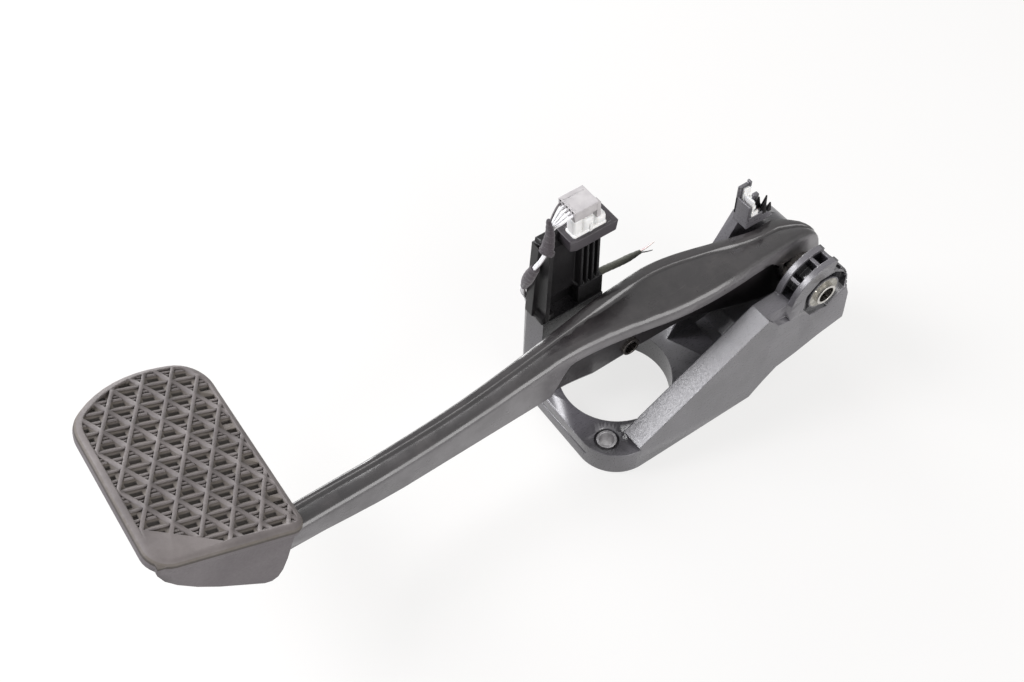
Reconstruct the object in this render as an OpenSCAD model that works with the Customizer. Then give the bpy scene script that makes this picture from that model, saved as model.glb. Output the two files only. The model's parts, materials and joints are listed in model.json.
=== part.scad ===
// Hanging brake pedal in its moulded bracket, as it comes out of a car.
// The mounting face is the plane z = 0 and the origin is the centre of the servo opening in it.
// +X runs along the bracket to the pedal pivot, +Y to the far side wall and +Z away from the
// bulkhead. All lengths are millimetres.

/* [Base] */
// From the servo opening's centre to the left edge
base_left = 42.6; // [41:0.2:50]
// From the servo opening's centre to the right edge of the flat face
base_right = 61; // [56:1:66]
// From the servo opening's centre to each long edge
base_half_width = 49; // [47:0.5:54]
// Thickness of the base block
base_thickness = 17; // [13:0.5:22]
// Radius of the two left corners
base_corner_r = 24; // [14:1:28]
// Diameter of the servo opening
servo_hole_d = 65; // [58:0.5:66]
// Circle through the two stud holes
stud_circle_d = 89; // [87:0.5:91]
// Angle from X to the line through the stud holes
stud_angle = 46.4; // [44:0.2:48]
// Hole for an M8 stud in its steel sleeve
stud_hole_d = 8.5; // [8.3:0.1:9]
// Outer diameter of the steel sleeve
sleeve_d = 11.2; // [10.6:0.1:13]
// Depth of the long groove in the left face
side_groove_depth = 2; // [1:0.2:4]

/* [Bracket walls] */
// Thickness of the box-shaped near wall
near_wall = 14; // [12:0.5:16]
// Inner face of the far wall
far_wall_y = -5; // [-6:0.5:-4.5]
// Thickness of the far wall's bearing barrel
far_wall = 14; // [12:0.5:16]
// Thickness of the far wall's strut, flush with the barrel outside
far_strut = 7; // [5:0.5:7.5]
// Skin and ribs of the moulding
moulding_wall = 3; // [2.4:0.2:4]
// Thickness of the sloping web under the pivot
web_thickness = 5; // [4:0.5:7]

/* [Pivot] */
// Pivot axis from the servo opening's centre
pivot_x = 103.3; // [100:0.5:108]
// Height of the pivot axis over the mounting face
pivot_z = 66; // [63:0.5:70]
// Radius of the near bearing's rims
rim_r = 24; // [22.5:0.5:25]
// Radius of the near bearing's core
core_r = 16; // [14:0.5:17.5]
// Radius of the far bearing barrel
far_barrel_r = 16.5; // [15.5:0.5:20]
// Outer diameter of the steel pivot tube
tube_d = 13; // [12:0.2:14]
// Bore of the pivot tube
tube_bore_d = 10; // [8.4:0.1:10.6]
// Length of pivot tube that stands out of each bearing
tube_stand = 2.3; // [1.8:0.1:4]
// Radius of the steel flange round the tube
flange_r = 9.9; // [9.2:0.1:10.6]
// Thickness of the steel flange
flange_thickness = 2.2; // [1.6:0.2:3]
// Running clearance on the radius of the pivot
running_gap = 0.05; // [0.02:0.01:0.1]

/* [Lever] */
// Sheet thickness of both lever stampings
lever_gauge = 2.5; // [2:0.1:3]
// Half the outer height of the lever's head
head_r = 24; // [22.5:0.5:25]
// Height of the lever's underside over the mounting face
lever_bottom = 46; // [45.5:0.5:50]
// Height of the lever's top at the pad end
lever_top_low = 65; // [62:0.5:68]
// Depth of the cap's side flange along the head half
cap_flange = 9; // [7:0.5:12]
// Width of the lever box at the pad end
lever_width = 14.5; // [12:0.5:18]
// Outer diameter of the hub welded into the head
hub_d = 20; // [19:0.2:21]
// Bore for the push rod pin
pushrod_bore_d = 8; // [6:0.1:8.4]
// Outer diameter of the push rod sleeve
pushrod_sleeve_d = 11; // [10:0.2:12]
// Wire of the return spring
spring_wire = 2; // [1.6:0.1:2.2]

/* [Pad] */
// Width of the pad
pad_width = 119.5; // [110:0.5:125]
// Height of the pad along its slope
pad_height = 79; // [74:1:84]
// Slope of the pad
pad_angle = 27; // [24:0.5:30]
// Thickness of the rubber at its edge
pad_thickness = 9; // [8.5:0.5:13]
// Thickness of the steel foot plate
plate_thickness = 3; // [2.5:0.1:3.6]
// Rubber over the foot plate
tread_base = 4.5; // [4:0.5:5]
// Pitch of the tread's cells across the pad
cell_pitch_y = 24.5; // [20:0.5:30]
// Pitch of the tread's cells down the pad
cell_pitch_v = 15.2; // [12:0.2:20]
// Width of the tread's ridges
ridge_width = 1.9; // [1.6:0.1:3]
// Height of the ridges over the cells
ridge_height = 1.5; // [0.8:0.1:1.8]
// Depth of the slots in the cells
slot_depth = 1.4; // [0.6:0.1:2]

/* [Tower] */
// Right edge of the tower's lower block
tower_right = 2; // [1:0.5:5]
// Near face of the tower
tower_near_y = 18; // [17:0.5:19.5]
// Height of the lower block's top
tower_seam_z = 72; // [68:0.5:76]
// Height of the clip frame's underside
frame_z = 121; // [114:0.5:124]
// Height of the clip frame
frame_height = 7; // [6:0.5:10]
// Wall of the clip frame
frame_wall = 2.4; // [1.8:0.1:3]
// Top of the grey connector
connector_top_z = 150; // [146:0.5:154]

/* [Hidden] */

// Thin clearance between pieces that are pressed or welded together
seat = 0.02;
weld_gap = 0.1;
slack = 0.3;

near_y = -base_half_width;
near_inner_y = near_y + near_wall;
far_outer_y = far_wall_y + far_wall;
tube_r = tube_d / 2;
bush_r = tube_r + 1.6;
stud_x = stud_circle_d / 2 * cos(stud_angle);
stud_y = stud_circle_d / 2 * sin(stud_angle);

// A smooth step from 0 at a to 1 at b
function smooth(a, b, x) =
    let (t = max(0, min(1, (x - a) / (b - a)))) t * t * (3 - 2 * t);

// Extrudes a profile drawn in x and z, from y0 towards +Y
module side_profile(y0, length)
    translate([0, y0 + length, 0])
        rotate([90, 0, 0])
            linear_extrude(length)
                children();

// A round bar along Y through the pivot or another axis
module bar_y(x, z, y0, length, r)
    translate([x, y0, z])
        rotate([-90, 0, 0])
            cylinder(h = length, r = r, $fn = 96);

// Cuts the corner at (x, y) down to an arc; sx and sy point out of the shape
module corner_cut(x, y, r, sx, sy)
    difference() {
        translate([x - (sx > 0 ? r : 1), y - (sy > 0 ? r : 1)])
            square(r + 1);
        translate([x - sx * r, y - sy * r])
            circle(r, $fn = 96);
    }

// Closed surface through rings of points; each ring is an outer list followed by the
// matching inner list in reverse, so that its two ends close as strips
function strip_faces(rings, n) =
    let (m = 2 * n, last = (rings - 1) * m)
    concat(
        [for (k = [0:rings - 2], i = [0:m - 1])
            [k * m + i, k * m + (i + 1) % m, (k + 1) * m + (i + 1) % m, (k + 1) * m + i]],
        [for (i = [0:n - 2]) [i, m - 1 - i, m - 2 - i, i + 1]],
        [for (i = [0:n - 2]) [last + i, last + i + 1, last + m - 2 - i, last + m - 1 - i]]
    );
function reversed(list) = [for (i = [len(list) - 1:-1:0]) list[i]];

module strip_solid(rings, n)
    polyhedron(
        points = [for (ring = rings) each ring],
        faces = strip_faces(len(rings), n),
        convexity = 8
    );

// Round tube swept along points; the seam keeps to one side of the route
function unit(v) = v / norm(v);
function tangent(path, i) =
    unit(path[min(i + 1, len(path) - 1)] - path[max(i - 1, 0)]);
function tube_ring(path, i, r, sides, side_hint) =
    let (
        along = tangent(path, i),
        a = unit(cross(along, side_hint)),
        b = cross(along, a)
    )
    [for (k = [0:sides - 1])
        path[i] + r * (cos(360 * k / sides) * a + sin(360 * k / sides) * b)];
module tube(path, r, sides = 8, side_hint = [0, 1, 0.1]) {
    rings = len(path);
    polyhedron(
        points = [for (i = [0:rings - 1]) each tube_ring(path, i, r, sides, side_hint)],
        faces = concat(
            [[for (k = [0:sides - 1]) k]],
            [for (i = [0:rings - 2], k = [0:sides - 1])
                [i * sides + k, (i + 1) * sides + k,
                 (i + 1) * sides + (k + 1) % sides, i * sides + (k + 1) % sides]],
            [[for (k = [sides - 1:-1:0]) (rings - 1) * sides + k]]
        ),
        convexity = 6
    );
}
// Points of a smooth curve through a short list of chosen points
function curve_point(p, i, t) =
    let (
        a = p[max(i - 1, 0)], b = p[i], c = p[i + 1], d = p[min(i + 2, len(p) - 1)]
    )
    0.5 * (2 * b + (c - a) * t + (2 * a - 5 * b + 4 * c - d) * t * t
        + (3 * b - a - 3 * c + d) * t * t * t);
function curve(p, steps) =
    concat(
        [for (i = [0:len(p) - 2], s = [0:steps - 1]) curve_point(p, i, s / steps)],
        [p[len(p) - 1]]
    );

// Lower edge of the bracket from the flat face to the lug, in x and z
lug_x = pivot_x + 25.7;
web_low = [
    [base_right, 0],
    [base_right + 9, base_thickness / 2],
    [pivot_x - 24.3, base_thickness - 1.6],
    [pivot_x - 9.7, base_thickness + 1.2],
    [pivot_x + 6.2, base_thickness + 5.7],
    [lug_x - 1, base_thickness + 9]
];

// The near wall's top runs straight from its toe to the shoulder by the bearing
toe = [-21, base_thickness + 2.5];
shoulder = [pivot_x - 39.8, pivot_z + 3.4];
strip_slope = (shoulder[1] - toe[1]) / (shoulder[0] - toe[0]);
function strip_z(x) = toe[1] + (x - toe[0]) * strip_slope;
lug_top = [pivot_x + 1.05 * core_r, pivot_z + 4];

module near_wall_outline()
    polygon(concat(
        [[toe[0] + 11.4, 0], toe, shoulder,
         [pivot_x - 0.97 * core_r, pivot_z + 4],
         [pivot_x, pivot_z],
         lug_top,
         [lug_top[0] + 5, pivot_z - 0.7 * rim_r]],
        reversed(web_low)
    ));

// Band by the bearing where the wall's outer face steps in
step_depth = 3.5;
module bearing_step_outline()
    polygon([
        shoulder + [0, 0.2],
        [pivot_x - 31.3, pivot_z - 6.6],
        [pivot_x - 14.5, pivot_z - 10.5],
        [pivot_x - 4, pivot_z],
        [pivot_x + 2, pivot_z + rim_r + 8],
        [shoulder[0], pivot_z + rim_r + 8]
    ]);

// Pockets between upright ribs on the wall's inner side
pocket_start = 3;
pocket_end = base_right - 3;
pocket_count = 4;
module near_wall_pockets() {
    pitch = (pocket_end - pocket_start) / pocket_count;
    for (i = [0:pocket_count - 1]) {
        a = pocket_start + i * pitch;
        b = a + pitch - moulding_wall * 0.8;
        side_profile(near_y + moulding_wall, near_wall)
            polygon([
                [a, base_thickness],
                [b, base_thickness],
                [b, strip_z(b) - moulding_wall * 1.3],
                [a, strip_z(a) - moulding_wall * 1.3]
            ]);
    }
}

// Two part rims round the near bearing and the ribs between them, by their angle
rib_angles = [82, 103, 140, 176];
rim_start = 78;
rim_end = 215;
rim_thickness = 3.5;
module rim(y0)
    side_profile(y0, rim_thickness)
        translate([pivot_x, pivot_z])
            polygon(concat([[0, 0]],
                [for (k = [0:24])
                    let (angle = rim_start + (rim_end - rim_start) * k / 24)
                    rim_r * [cos(angle), sin(angle)]]));
module near_bearing() {
    bar_y(pivot_x, pivot_z, near_y, near_wall, core_r);
    rim(near_y);
    rim(near_inner_y - rim_thickness);
    for (angle = rib_angles)
        side_profile(near_y + 1, near_wall - 2)
            translate([pivot_x, pivot_z])
                rotate(angle)
                    translate([core_r - 1, -1])
                        square([rim_r - core_r, 2]);
}

// Moulded recess round the steel flange on the bearing's outer face
recess_depth = 4;
module near_bearing_recess()
    translate([pivot_x, near_y - 1, pivot_z])
        rotate([-90, 0, 0])
            difference() {
                // An eight-sided hollow
                rotate(22.5)
                    cylinder(h = 1 + recess_depth, r = core_r - 1.2, $fn = 8);
                cylinder(h = 12, r = flange_r + 0.9, $fn = 96);
            }

module side_wall_near() {
    difference() {
        side_profile(near_y, near_wall)
            near_wall_outline();
        side_profile(near_y - 1, step_depth + 1)
            bearing_step_outline();
        near_wall_pockets();
        // Latch slots in the lug's edge
        for (k = [0:2])
            bar_y(lug_top[0] + 1.2 * k + 1.5, lug_top[1] - 6 - 4 * k, near_y - 1, near_wall, 0.9);
    }
    near_bearing();
}

// Far wall: a strut up to its bearing barrel, with the switch holder on top
strut_foot = [40, base_thickness];
strut_knee = [pivot_x - 32.3, pivot_z + 12];
strut_top = [pivot_x - 19.3, pivot_z + 28];
module far_wall_outline() {
    polygon([
        [strut_foot[0], base_thickness - 1],
        strut_foot,
        strut_knee,
        strut_top,
        [pivot_x - 8, strut_top[1]],
        [pivot_x + far_barrel_r * cos(60), pivot_z + far_barrel_r * sin(60)],
        [pivot_x + far_barrel_r * cos(20), pivot_z - far_barrel_r * sin(20)],
        [pivot_x + 10, base_thickness + 8],
        [base_right - 3, base_thickness - 1]
    ]);
}
module far_wall_pockets() {
    skin_y = far_outer_y - far_strut + moulding_wall;
    for (column = [[56, 68], [71, 83]])
        side_profile(skin_y, far_wall)
            polygon([
                [column[0], base_thickness + 9],
                [column[1], base_thickness + 12],
                [column[1], pivot_z - 1],
                [column[0], pivot_z - 19 + (column[0] - 56) * 0.9]
            ]);
    // Annular relief round the far flange
    translate([pivot_x, far_outer_y + 1, pivot_z])
        rotate([90, 0, 0])
            difference() {
                cylinder(h = 1 + 5, r = far_barrel_r - 2.4, $fn = 96);
                cylinder(h = 9, r = flange_r + 1.2, $fn = 96);
            }
}

// Open holder for the stop light switch, on top of the far wall
holder_x = pivot_x - 22.3;
holder_z = strut_top[1];
holder_depth = 11;
holder_wall = 3;
holder_height = 23;
insert_width = 8;
module switch_holder()
    side_profile(far_wall_y, holder_depth)
        polygon([
            [holder_x, holder_z - 2],
            [holder_x, holder_z + holder_height],
            [holder_x + 4, holder_z + holder_height + 1],
            [holder_x + 7, holder_z + holder_height - 1],
            [holder_x + 6, holder_z + holder_height - 4],
            [holder_x + holder_wall, holder_z + holder_height - 4],
            [holder_x + holder_wall, holder_z + holder_wall],
            [holder_x + holder_wall + insert_width + 2, holder_z + holder_wall],
            [holder_x + holder_wall + insert_width + 3, holder_z + 8],
            [holder_x + 19, holder_z + 8],
            [holder_x + 23, holder_z + 3],
            [holder_x + 27, holder_z - 2]
        ]);

// Sloping web that joins both walls under the pivot
module rear_web()
    side_profile(near_y, far_outer_y - near_y)
        polygon(concat(
            [[base_right - 14, 0]],
            web_low,
            reversed([for (p = web_low) if (p[0] > base_right) [p[0], p[1] + web_thickness]]),
            [[base_right - 14, base_thickness]]
        ));

// Lower block of the tower, moulded with the base, hollow over the servo opening
duct_r = 3;
block_left = 1.5;
duct = [-35, 35];
module tower_block()
    difference() {
        translate([0, 0, base_thickness - 1])
            linear_extrude(tower_seam_z - base_thickness + 1)
                intersection() {
                    base_outline();
                    translate([block_left - base_left, tower_near_y])
                        square([base_left + tower_right - block_left,
                                base_half_width - tower_near_y]);
                }
        translate([0, 0, base_thickness - 2])
            cylinder(h = tower_seam_z - base_thickness - 8, d = servo_hole_d + 2, $fn = 128);
        translate([duct[0], duct[1], tower_seam_z - 12])
            cylinder(h = 13, r = duct_r, $fn = 48);
    }

module base_outline()
    difference() {
        translate([-base_left, -base_half_width])
            square([base_left + base_right, 2 * base_half_width]);
        corner_cut(-base_left, -base_half_width, base_corner_r, -1, -1);
        corner_cut(-base_left, base_half_width, base_corner_r, -1, 1);
        corner_cut(base_right, base_half_width, base_corner_r * 0.75, 1, 1);
    }

// Ring-shaped hollow in the base round each stud sleeve
sleeve_recess = 2.4;
module pedal_bracket()
    color([0.13, 0.13, 0.14])
        difference() {
            union() {
                linear_extrude(base_thickness)
                    base_outline();
                side_wall_near();
                difference() {
                    union() {
                        side_profile(far_outer_y - far_strut, far_strut)
                            far_wall_outline();
                        bar_y(pivot_x, pivot_z, far_wall_y, far_wall, far_barrel_r);
                    }
                    far_wall_pockets();
                }
                switch_holder();
                rear_web();
                tower_block();
            }
            translate([0, 0, -1])
                cylinder(h = base_thickness + 2, d = servo_hole_d, $fn = 180);
            for (side = [-1, 1])
                translate([side * stud_x, side * stud_y, -1]) {
                    cylinder(h = base_thickness + 2, r = sleeve_d / 2 + seat, $fn = 64);
                    translate([0, 0, base_thickness + 1 - sleeve_recess])
                        cylinder(h = sleeve_recess + 1, r = sleeve_d / 2 + 1.6, $fn = 64);
                }
            // Long groove in the left face
            translate([-base_left - 1, -base_half_width + base_corner_r - 4, base_thickness / 2])
                cube([1 + side_groove_depth, 2 * base_half_width, 1.5]);
            near_bearing_recess();
            // Bores for both bushes and their flanges
            bar_y(pivot_x, pivot_z, near_y - 1, near_wall + 2, bush_r + seat);
            bar_y(pivot_x, pivot_z, near_y - 1, flange_thickness + 1, flange_r + seat);
            bar_y(pivot_x, pivot_z, far_wall_y - 1, far_wall + 2, bush_r + seat);
            bar_y(pivot_x, pivot_z, far_outer_y - flange_thickness, flange_thickness + 1,
                flange_r + seat);
        }

module mount_sleeves()
    color([0.6, 0.6, 0.58])
        for (side = [-1, 1])
            translate([side * stud_x, side * stud_y, 0])
                difference() {
                    cylinder(h = base_thickness, d = sleeve_d, $fn = 64);
                    translate([0, 0, -1])
                        cylinder(h = base_thickness + 2, d = stud_hole_d, $fn = 64);
                }

// Flanged steel bush; the flange lies at the local origin and the body along +Z
module flanged_bush(length)
    difference() {
        union() {
            cylinder(h = flange_thickness, r = flange_r, $fn = 96);
            cylinder(h = length, r = bush_r, $fn = 96);
        }
        translate([0, 0, -1])
            cylinder(h = length + 2, r = tube_r + seat, $fn = 96);
        // Staking dimples in the flange's face
        for (angle = [40, 220])
            rotate(angle)
                translate([(flange_r + bush_r) / 2 + 0.1, 0, -1])
                    cylinder(h = 1.6, r = 0.6, $fn = 24);
    }
module near_bush()
    color([0.62, 0.6, 0.52])
        translate([pivot_x, near_y, pivot_z])
            rotate([-90, 0, 0])
                flanged_bush(near_wall - 0.4);
module far_bush()
    color([0.62, 0.6, 0.52])
        translate([pivot_x, far_outer_y, pivot_z])
            rotate([90, 0, 0])
                flanged_bush(far_wall - 0.4);

module pivot_tube() {
    length = far_outer_y - near_y + 2 * tube_stand;
    color([0.7, 0.68, 0.62])
        difference() {
            bar_y(pivot_x, pivot_z, near_y - tube_stand, length, tube_r);
            bar_y(pivot_x, pivot_z, near_y - tube_stand - 1, length + 2, tube_bore_d / 2);
        }
}

// Push-on ring that keeps the tube in the far bearing
module tube_retainer()
    color([0.55, 0.55, 0.53])
        difference() {
            bar_y(pivot_x, pivot_z, far_outer_y + 0.05, 1.5, tube_r + 2.6);
            bar_y(pivot_x, pivot_z, far_outer_y - 1, 4, tube_r + seat);
            for (angle = [0:60:300])
                side_profile(far_outer_y - 1, 4)
                    translate([pivot_x, pivot_z])
                        rotate(angle)
                            translate([tube_r - 1, -0.4])
                                square([2.2, 0.8]);
        }

module switch_insert() {
    height = holder_height - 5;
    color([0.86, 0.86, 0.84])
        difference() {
            translate([holder_x + holder_wall + weld_gap, far_wall_y + 0.5,
                       holder_z + holder_wall + weld_gap])
                cube([insert_width, holder_depth - 1, height - holder_wall - 1]);
            // Contact slots seen from above
            for (i = [0:2])
                translate([holder_x + holder_wall + 1.4, far_wall_y + 1.6 + 2.9 * i,
                           holder_z + holder_wall + 3])
                    cube([insert_width - 2.6, 1.5, height]);
        }
}

// Upper post of the tower: a back plate with a leaning rail, a wing, fins and feet
post_back_y = tower_near_y + 9;
post_far_y = post_back_y + 4;
post_left = -36.5;
post_lean = 3;
cable_z = tower_seam_z + 10;
cable_r = 2.1;
module tower_post()
    color([0.1, 0.1, 0.11])
        difference() {
            union() {
                side_profile(post_back_y, post_far_y - post_back_y)
                    polygon([
                        [post_left - 2, tower_seam_z],
                        [tower_right, tower_seam_z],
                        [tower_right, cable_z + 3],
                        [tower_right - 3.5, cable_z + 6],
                        [tower_right - 5, frame_z],
                        [-22, frame_z],
                        [-22, frame_z + frame_height],
                        [post_left + post_lean, frame_z + frame_height],
                        [post_left - 1, tower_seam_z + 24]
                    ]);
                // Leaning rail with its bright front edge
                side_profile(tower_near_y, post_far_y - tower_near_y)
                    polygon([
                        [post_left, tower_seam_z],
                        [post_left + 2.4, tower_seam_z],
                        [post_left + 2.4 + post_lean, frame_z + frame_height],
                        [post_left + post_lean, frame_z + frame_height]
                    ]);
                // Outer wing
                side_profile(tower_near_y + 7, post_far_y - tower_near_y - 7)
                    polygon([
                        [post_left - 4, tower_seam_z + 3],
                        [post_left - 1, tower_seam_z],
                        [post_left + 1, tower_seam_z],
                        [post_left + 3, frame_z + 5],
                        [post_left + 1, frame_z + 5]
                    ]);
                // Left foot
                translate([post_left - 2, tower_near_y + 0.5, tower_seam_z])
                    cube([8, post_back_y - tower_near_y, 5]);
                // Recessed panel over the arch
                translate([post_left + 3, post_back_y - 3, tower_seam_z + 11])
                    cube([24, 4, frame_z - tower_seam_z - 11]);
                // Right foot that the cable comes out of
                translate([-14, tower_near_y + 1, tower_seam_z])
                    cube([14 + tower_right, post_back_y - tower_near_y, cable_z - tower_seam_z + 4]);
                for (i = [0:3])
                    translate([-12.5 + 3.6 * i, tower_near_y + 1.5, cable_z])
                        cube([1.4, post_back_y - tower_near_y, frame_z - cable_z]);
            }
            translate([-4, cable_start_y, cable_z])
                rotate([0, 90, 0])
                    cylinder(h = 12, r = cable_r + 0.15, $fn = 48);
        }

// Rectangular clip frame that holds the white connector
frame_left = -21.5;
frame_length = 29.5;
frame_near_y = tower_near_y - 2;
frame_width = 13;
module clip_frame()
    color([0.16, 0.16, 0.17])
        difference() {
            union() {
                translate([frame_left, frame_near_y, frame_z + weld_gap])
                    cube([frame_length, frame_width, frame_height - weld_gap]);
                // Deeper left cheek
                translate([frame_left - 1.2, frame_near_y, frame_z + 1])
                    cube([2.4, frame_width * 0.7, frame_height - 1]);
            }
            translate([frame_left + frame_wall, frame_near_y + frame_wall, frame_z - 1])
                cube([frame_length - 2 * frame_wall, frame_width - 2 * frame_wall,
                      frame_height + 2]);
            // Sloped lower right corner
            side_profile(frame_near_y - 1, frame_width + 2)
                polygon([
                    [frame_left + frame_length - 5, frame_z - 1],
                    [frame_left + frame_length + 1, frame_z - 1],
                    [frame_left + frame_length + 1, frame_z + 3]
                ]);
        }

connector_gap = 0.3;
connector_cap = 0.28 * (connector_top_z - frame_z - frame_height);
white_left = frame_left + frame_wall + connector_gap;
white_near = frame_near_y + frame_wall + connector_gap;
white_width = frame_width - 2 * frame_wall - 2 * connector_gap;
white_tall = 16;
module white_connector()
    color([0.9, 0.9, 0.88])
        difference() {
            union() {
                translate([white_left, white_near, frame_z + weld_gap])
                    cube([white_tall, white_width,
                          connector_top_z - connector_cap - frame_z - 2 * weld_gap]);
                translate([white_left + white_tall - 1, white_near, frame_z + weld_gap])
                    cube([frame_length - 2 * frame_wall - 2 * connector_gap - white_tall + 1,
                          white_width, frame_height + 4]);
                // Lobe on the lower housing
                translate([white_left + white_tall + 3.5, white_near - 1.2 + connector_gap,
                           frame_z + frame_height + 0.4])
                    cube([4.5, 2, 5]);
            }
            // Keying slots
            for (k = [0.2, 0.55])
                translate([white_left + k * white_tall, white_near - 1,
                           frame_z + frame_height + 1.5])
                    cube([2.2, 2.4, tab_height]);
            translate([white_left + white_tall + 1, white_near - 1, frame_z + frame_height])
                cube([1.6, white_width + 2, 20]);
        }

grey_left = frame_left + 1;
grey_length = 14.5;
tab_height = 0.6 * (connector_top_z - frame_z - frame_height);
grey_near = frame_near_y - 0.5;
grey_width = 14;
terminal_pitch = 2.5;
module grey_connector()
    color([0.62, 0.63, 0.63])
        difference() {
            union() {
                translate([grey_left, grey_near, connector_top_z - connector_cap])
                    cube([grey_length, grey_width, connector_cap]);
                // Lock tab on the right
                translate([grey_left + grey_length - 0.5, grey_near,
                           connector_top_z - 1 - tab_height])
                    cube([2, white_near - connector_gap - grey_near, tab_height]);
            }
            translate([grey_left + 2.6, grey_near + 1.6, connector_top_z - 0.8])
                cube([1, 10.5, 2]);
            for (i = [0:4])
                translate([grey_left - 1, grey_near + 1.5 + terminal_pitch * i,
                           connector_top_z - 1.8])
                    cube([2.2, 1.2, 3]);
        }

module connector_terminals()
    color([0.2, 0.2, 0.2])
        for (i = [0:4])
            translate([grey_left + 0.1, grey_near + 1.6 + terminal_pitch * i,
                       connector_top_z - 1.7])
                cube([1, 1, 1.2]);

// Harness from the connector down the tower's left side into the duct
harness = [
    [-34.5, 20.5, 149], [-36, 20, 142], [-38, 20, 131], [-41, 24, 119],
    [-42, 27, 110], [-42, 30, 97], [-40, 34, 86], [-36, 35, 78], [-35, 35, 66]
];
wire_r = 0.6;
wire_spread = 1.1;
tape_r = 2.8;
tape_wall = 0.8;
harness_curve = curve(harness, 4);
function wire_offset(k) = wire_spread * [cos(120 * k - 100), sin(120 * k - 100), 0];
function wire_route(k) =
    concat(
        [[grey_left - 0.05, grey_near + 2 + 4.5 * k, connector_top_z - 4]],
        [[grey_left - 5, grey_near + 3 + 4 * k, connector_top_z - 3]],
        [for (p = harness_curve) p + wire_offset(k)]
    );
module wire_a() color([0.85, 0.85, 0.82]) tube(wire_route(0), wire_r);
module wire_b() color([0.8, 0.8, 0.8]) tube(wire_route(1), wire_r);
module wire_c() color([0.35, 0.33, 0.33]) tube(wire_route(2), wire_r);

// Tape wound round the wires between two points of the harness
module tape_wrap(first, last)
    difference() {
        tube([for (i = [first:last]) harness_curve[i]], tape_r, 12);
        tube([for (i = [first - 1:last + 1]) harness_curve[i]], tape_r - tape_wall, 12);
    }
module tape_upper() color([0.08, 0.08, 0.09]) tape_wrap(2, 9);
module tape_lower() color([0.08, 0.08, 0.09]) tape_wrap(16, 21);

// Cable that was cut off when the pedal was taken out
cable_start_y = tower_near_y + 5;
cable_route = [
    [-3, 23, 82], [3, 23, 81.5], [9, 23, 80], [15, 24, 78], [21, 24, 77], [27, 25, 77], [33, 25, 77.5]
];
bare_r = 0.5;
cable_end = cable_route[len(cable_route) - 1] + [0.2, 0, 0];
function from_end(steps) = [for (step = steps) cable_end + step];
module cut_cable() color([0.3, 0.31, 0.27]) tube(curve(cable_route, 2), cable_r, 8, [0, 0, 1]);
module bare_wire_a()
    color([0.75, 0.7, 0.7])
        tube(from_end([[0, 0, 1], [3, 0, 1.3], [6, 0, 1.5], [9, 0, 2]]), bare_r, 8, [0, 1, 0]);
module bare_wire_b()
    color([0.7, 0.5, 0.55])
        tube(from_end([[0, 1, -0.5], [3, 1.5, -0.8], [5, 2, -1], [7, 2, 0]]), bare_r, 8, [0, 1, 0]);
module bare_wire_c()
    color([0.3, 0.3, 0.3])
        tube(from_end([[0, -1, -0.5], [3, -2, -1], [6, -2.5, -3], [8, -3, -4]]), bare_r, 8, [0, 1, 0]);

// The lever is cranked: these give its two side faces, its top and its underside along x
head_near_y = near_inner_y + 3;
low_near_y = -9.5;
low_far_y = low_near_y + lever_width;
crank = low_near_y - head_near_y;
lever_top_high = pivot_z + head_r;
function lever_near(x) = low_near_y - crank * smooth(-50, 70, x);
head_far_y = far_wall_y - 3;
far_bow = 4;
nose_taper = 17;
function lever_far(x) =
    low_far_y + far_bow * smooth(-110, 0, x)
    + (head_far_y - low_far_y - far_bow) * smooth(16, 92, x)
    - nose_taper * smooth(pivot_x - 8, pivot_x + 18, x);
function lever_top(x) =
    lever_top_low + (lever_top_high - lever_top_low) * smooth(-165, 76, x);
// The near flange covers the whole side of the lower half and narrows towards the head
function full_depth(x) = lever_top(x) - channel_bottom(x) - 0.4;
function near_depth(x) =
    cap_flange + (full_depth(x) - cap_flange) * (1 - smooth(-46, 18, x))
    + (head_r - 3 - cap_flange) * smooth(55, 88, x);

// Rounding of the cap's near top edge, along the lower half and along the head half
lower_round = 4.2;
head_round = 5;
arc_steps = [0, 30, 60, 90];
groove_depth = 1.3;

// One ring of the cap: its points are given across the lever and by depth under its top;
// w narrows the groove and its band where the lever is narrow
function cap_outer(yn, yf, groove, r, near_lip, w) = concat(
    [[yn, near_lip]],
    [for (a = arc_steps) [yn + r * (1 - cos(a)), r * (1 - sin(a))]],
    [[groove - 1.6 * w, 0], [groove, groove_depth], [groove + 1.2 * w, -0.3],
     [groove + 2.2 * w, -0.8], [yf - 1.2 * w, -0.8], [yf, 0.6], [yf, cap_flange]]
);
function cap_inner(yn, yf, groove, r, near_lip, w) =
    let (t = lever_gauge, q = max(0.3, r - t), b = yf - t - 0.3)
    concat(
        [[yn + t, near_lip]],
        [for (a = arc_steps) [yn + t + q * (1 - cos(a)), t + q * (1 - sin(a))]],
        [[groove - 1.8 * w, t], [groove, t + 0.8], [groove + 0.35 * (b - groove), t + 0.4],
         [groove + 0.7 * (b - groove), t + 0.1], [b, t], [yf - t, t + 0.3], [yf - t, cap_flange]]
    );
function cap_section(x) =
    let (
        yn = lever_near(x), yf = lever_far(x), width = yf - yn,
        groove = yf - min(4.2 + (x + 180) / 62, 0.4 * width),
        r = min(lower_round + (head_round - lower_round) * smooth(-50, -25, x), 0.3 * width),
        w = min(1, width / 14)
    )
    concat(
        cap_outer(yn, yf, groove, r, near_depth(x), w),
        reversed(cap_inner(yn, yf, groove, r, near_depth(x), w))
    );
cap_end = -203;
cap_stations = concat(
    [cap_end, -190, -175, -160, -145, -130, -115, -100, -85, -70, -60],
    [for (x = [-52:4:84]) x],
    [for (x = [88:5:98]) x]
);
head_steps = [90:-9:-9];
function cap_ring(x) = [for (p = cap_section(x)) [x, p[0], lever_top(x) - p[1]]];
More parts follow.
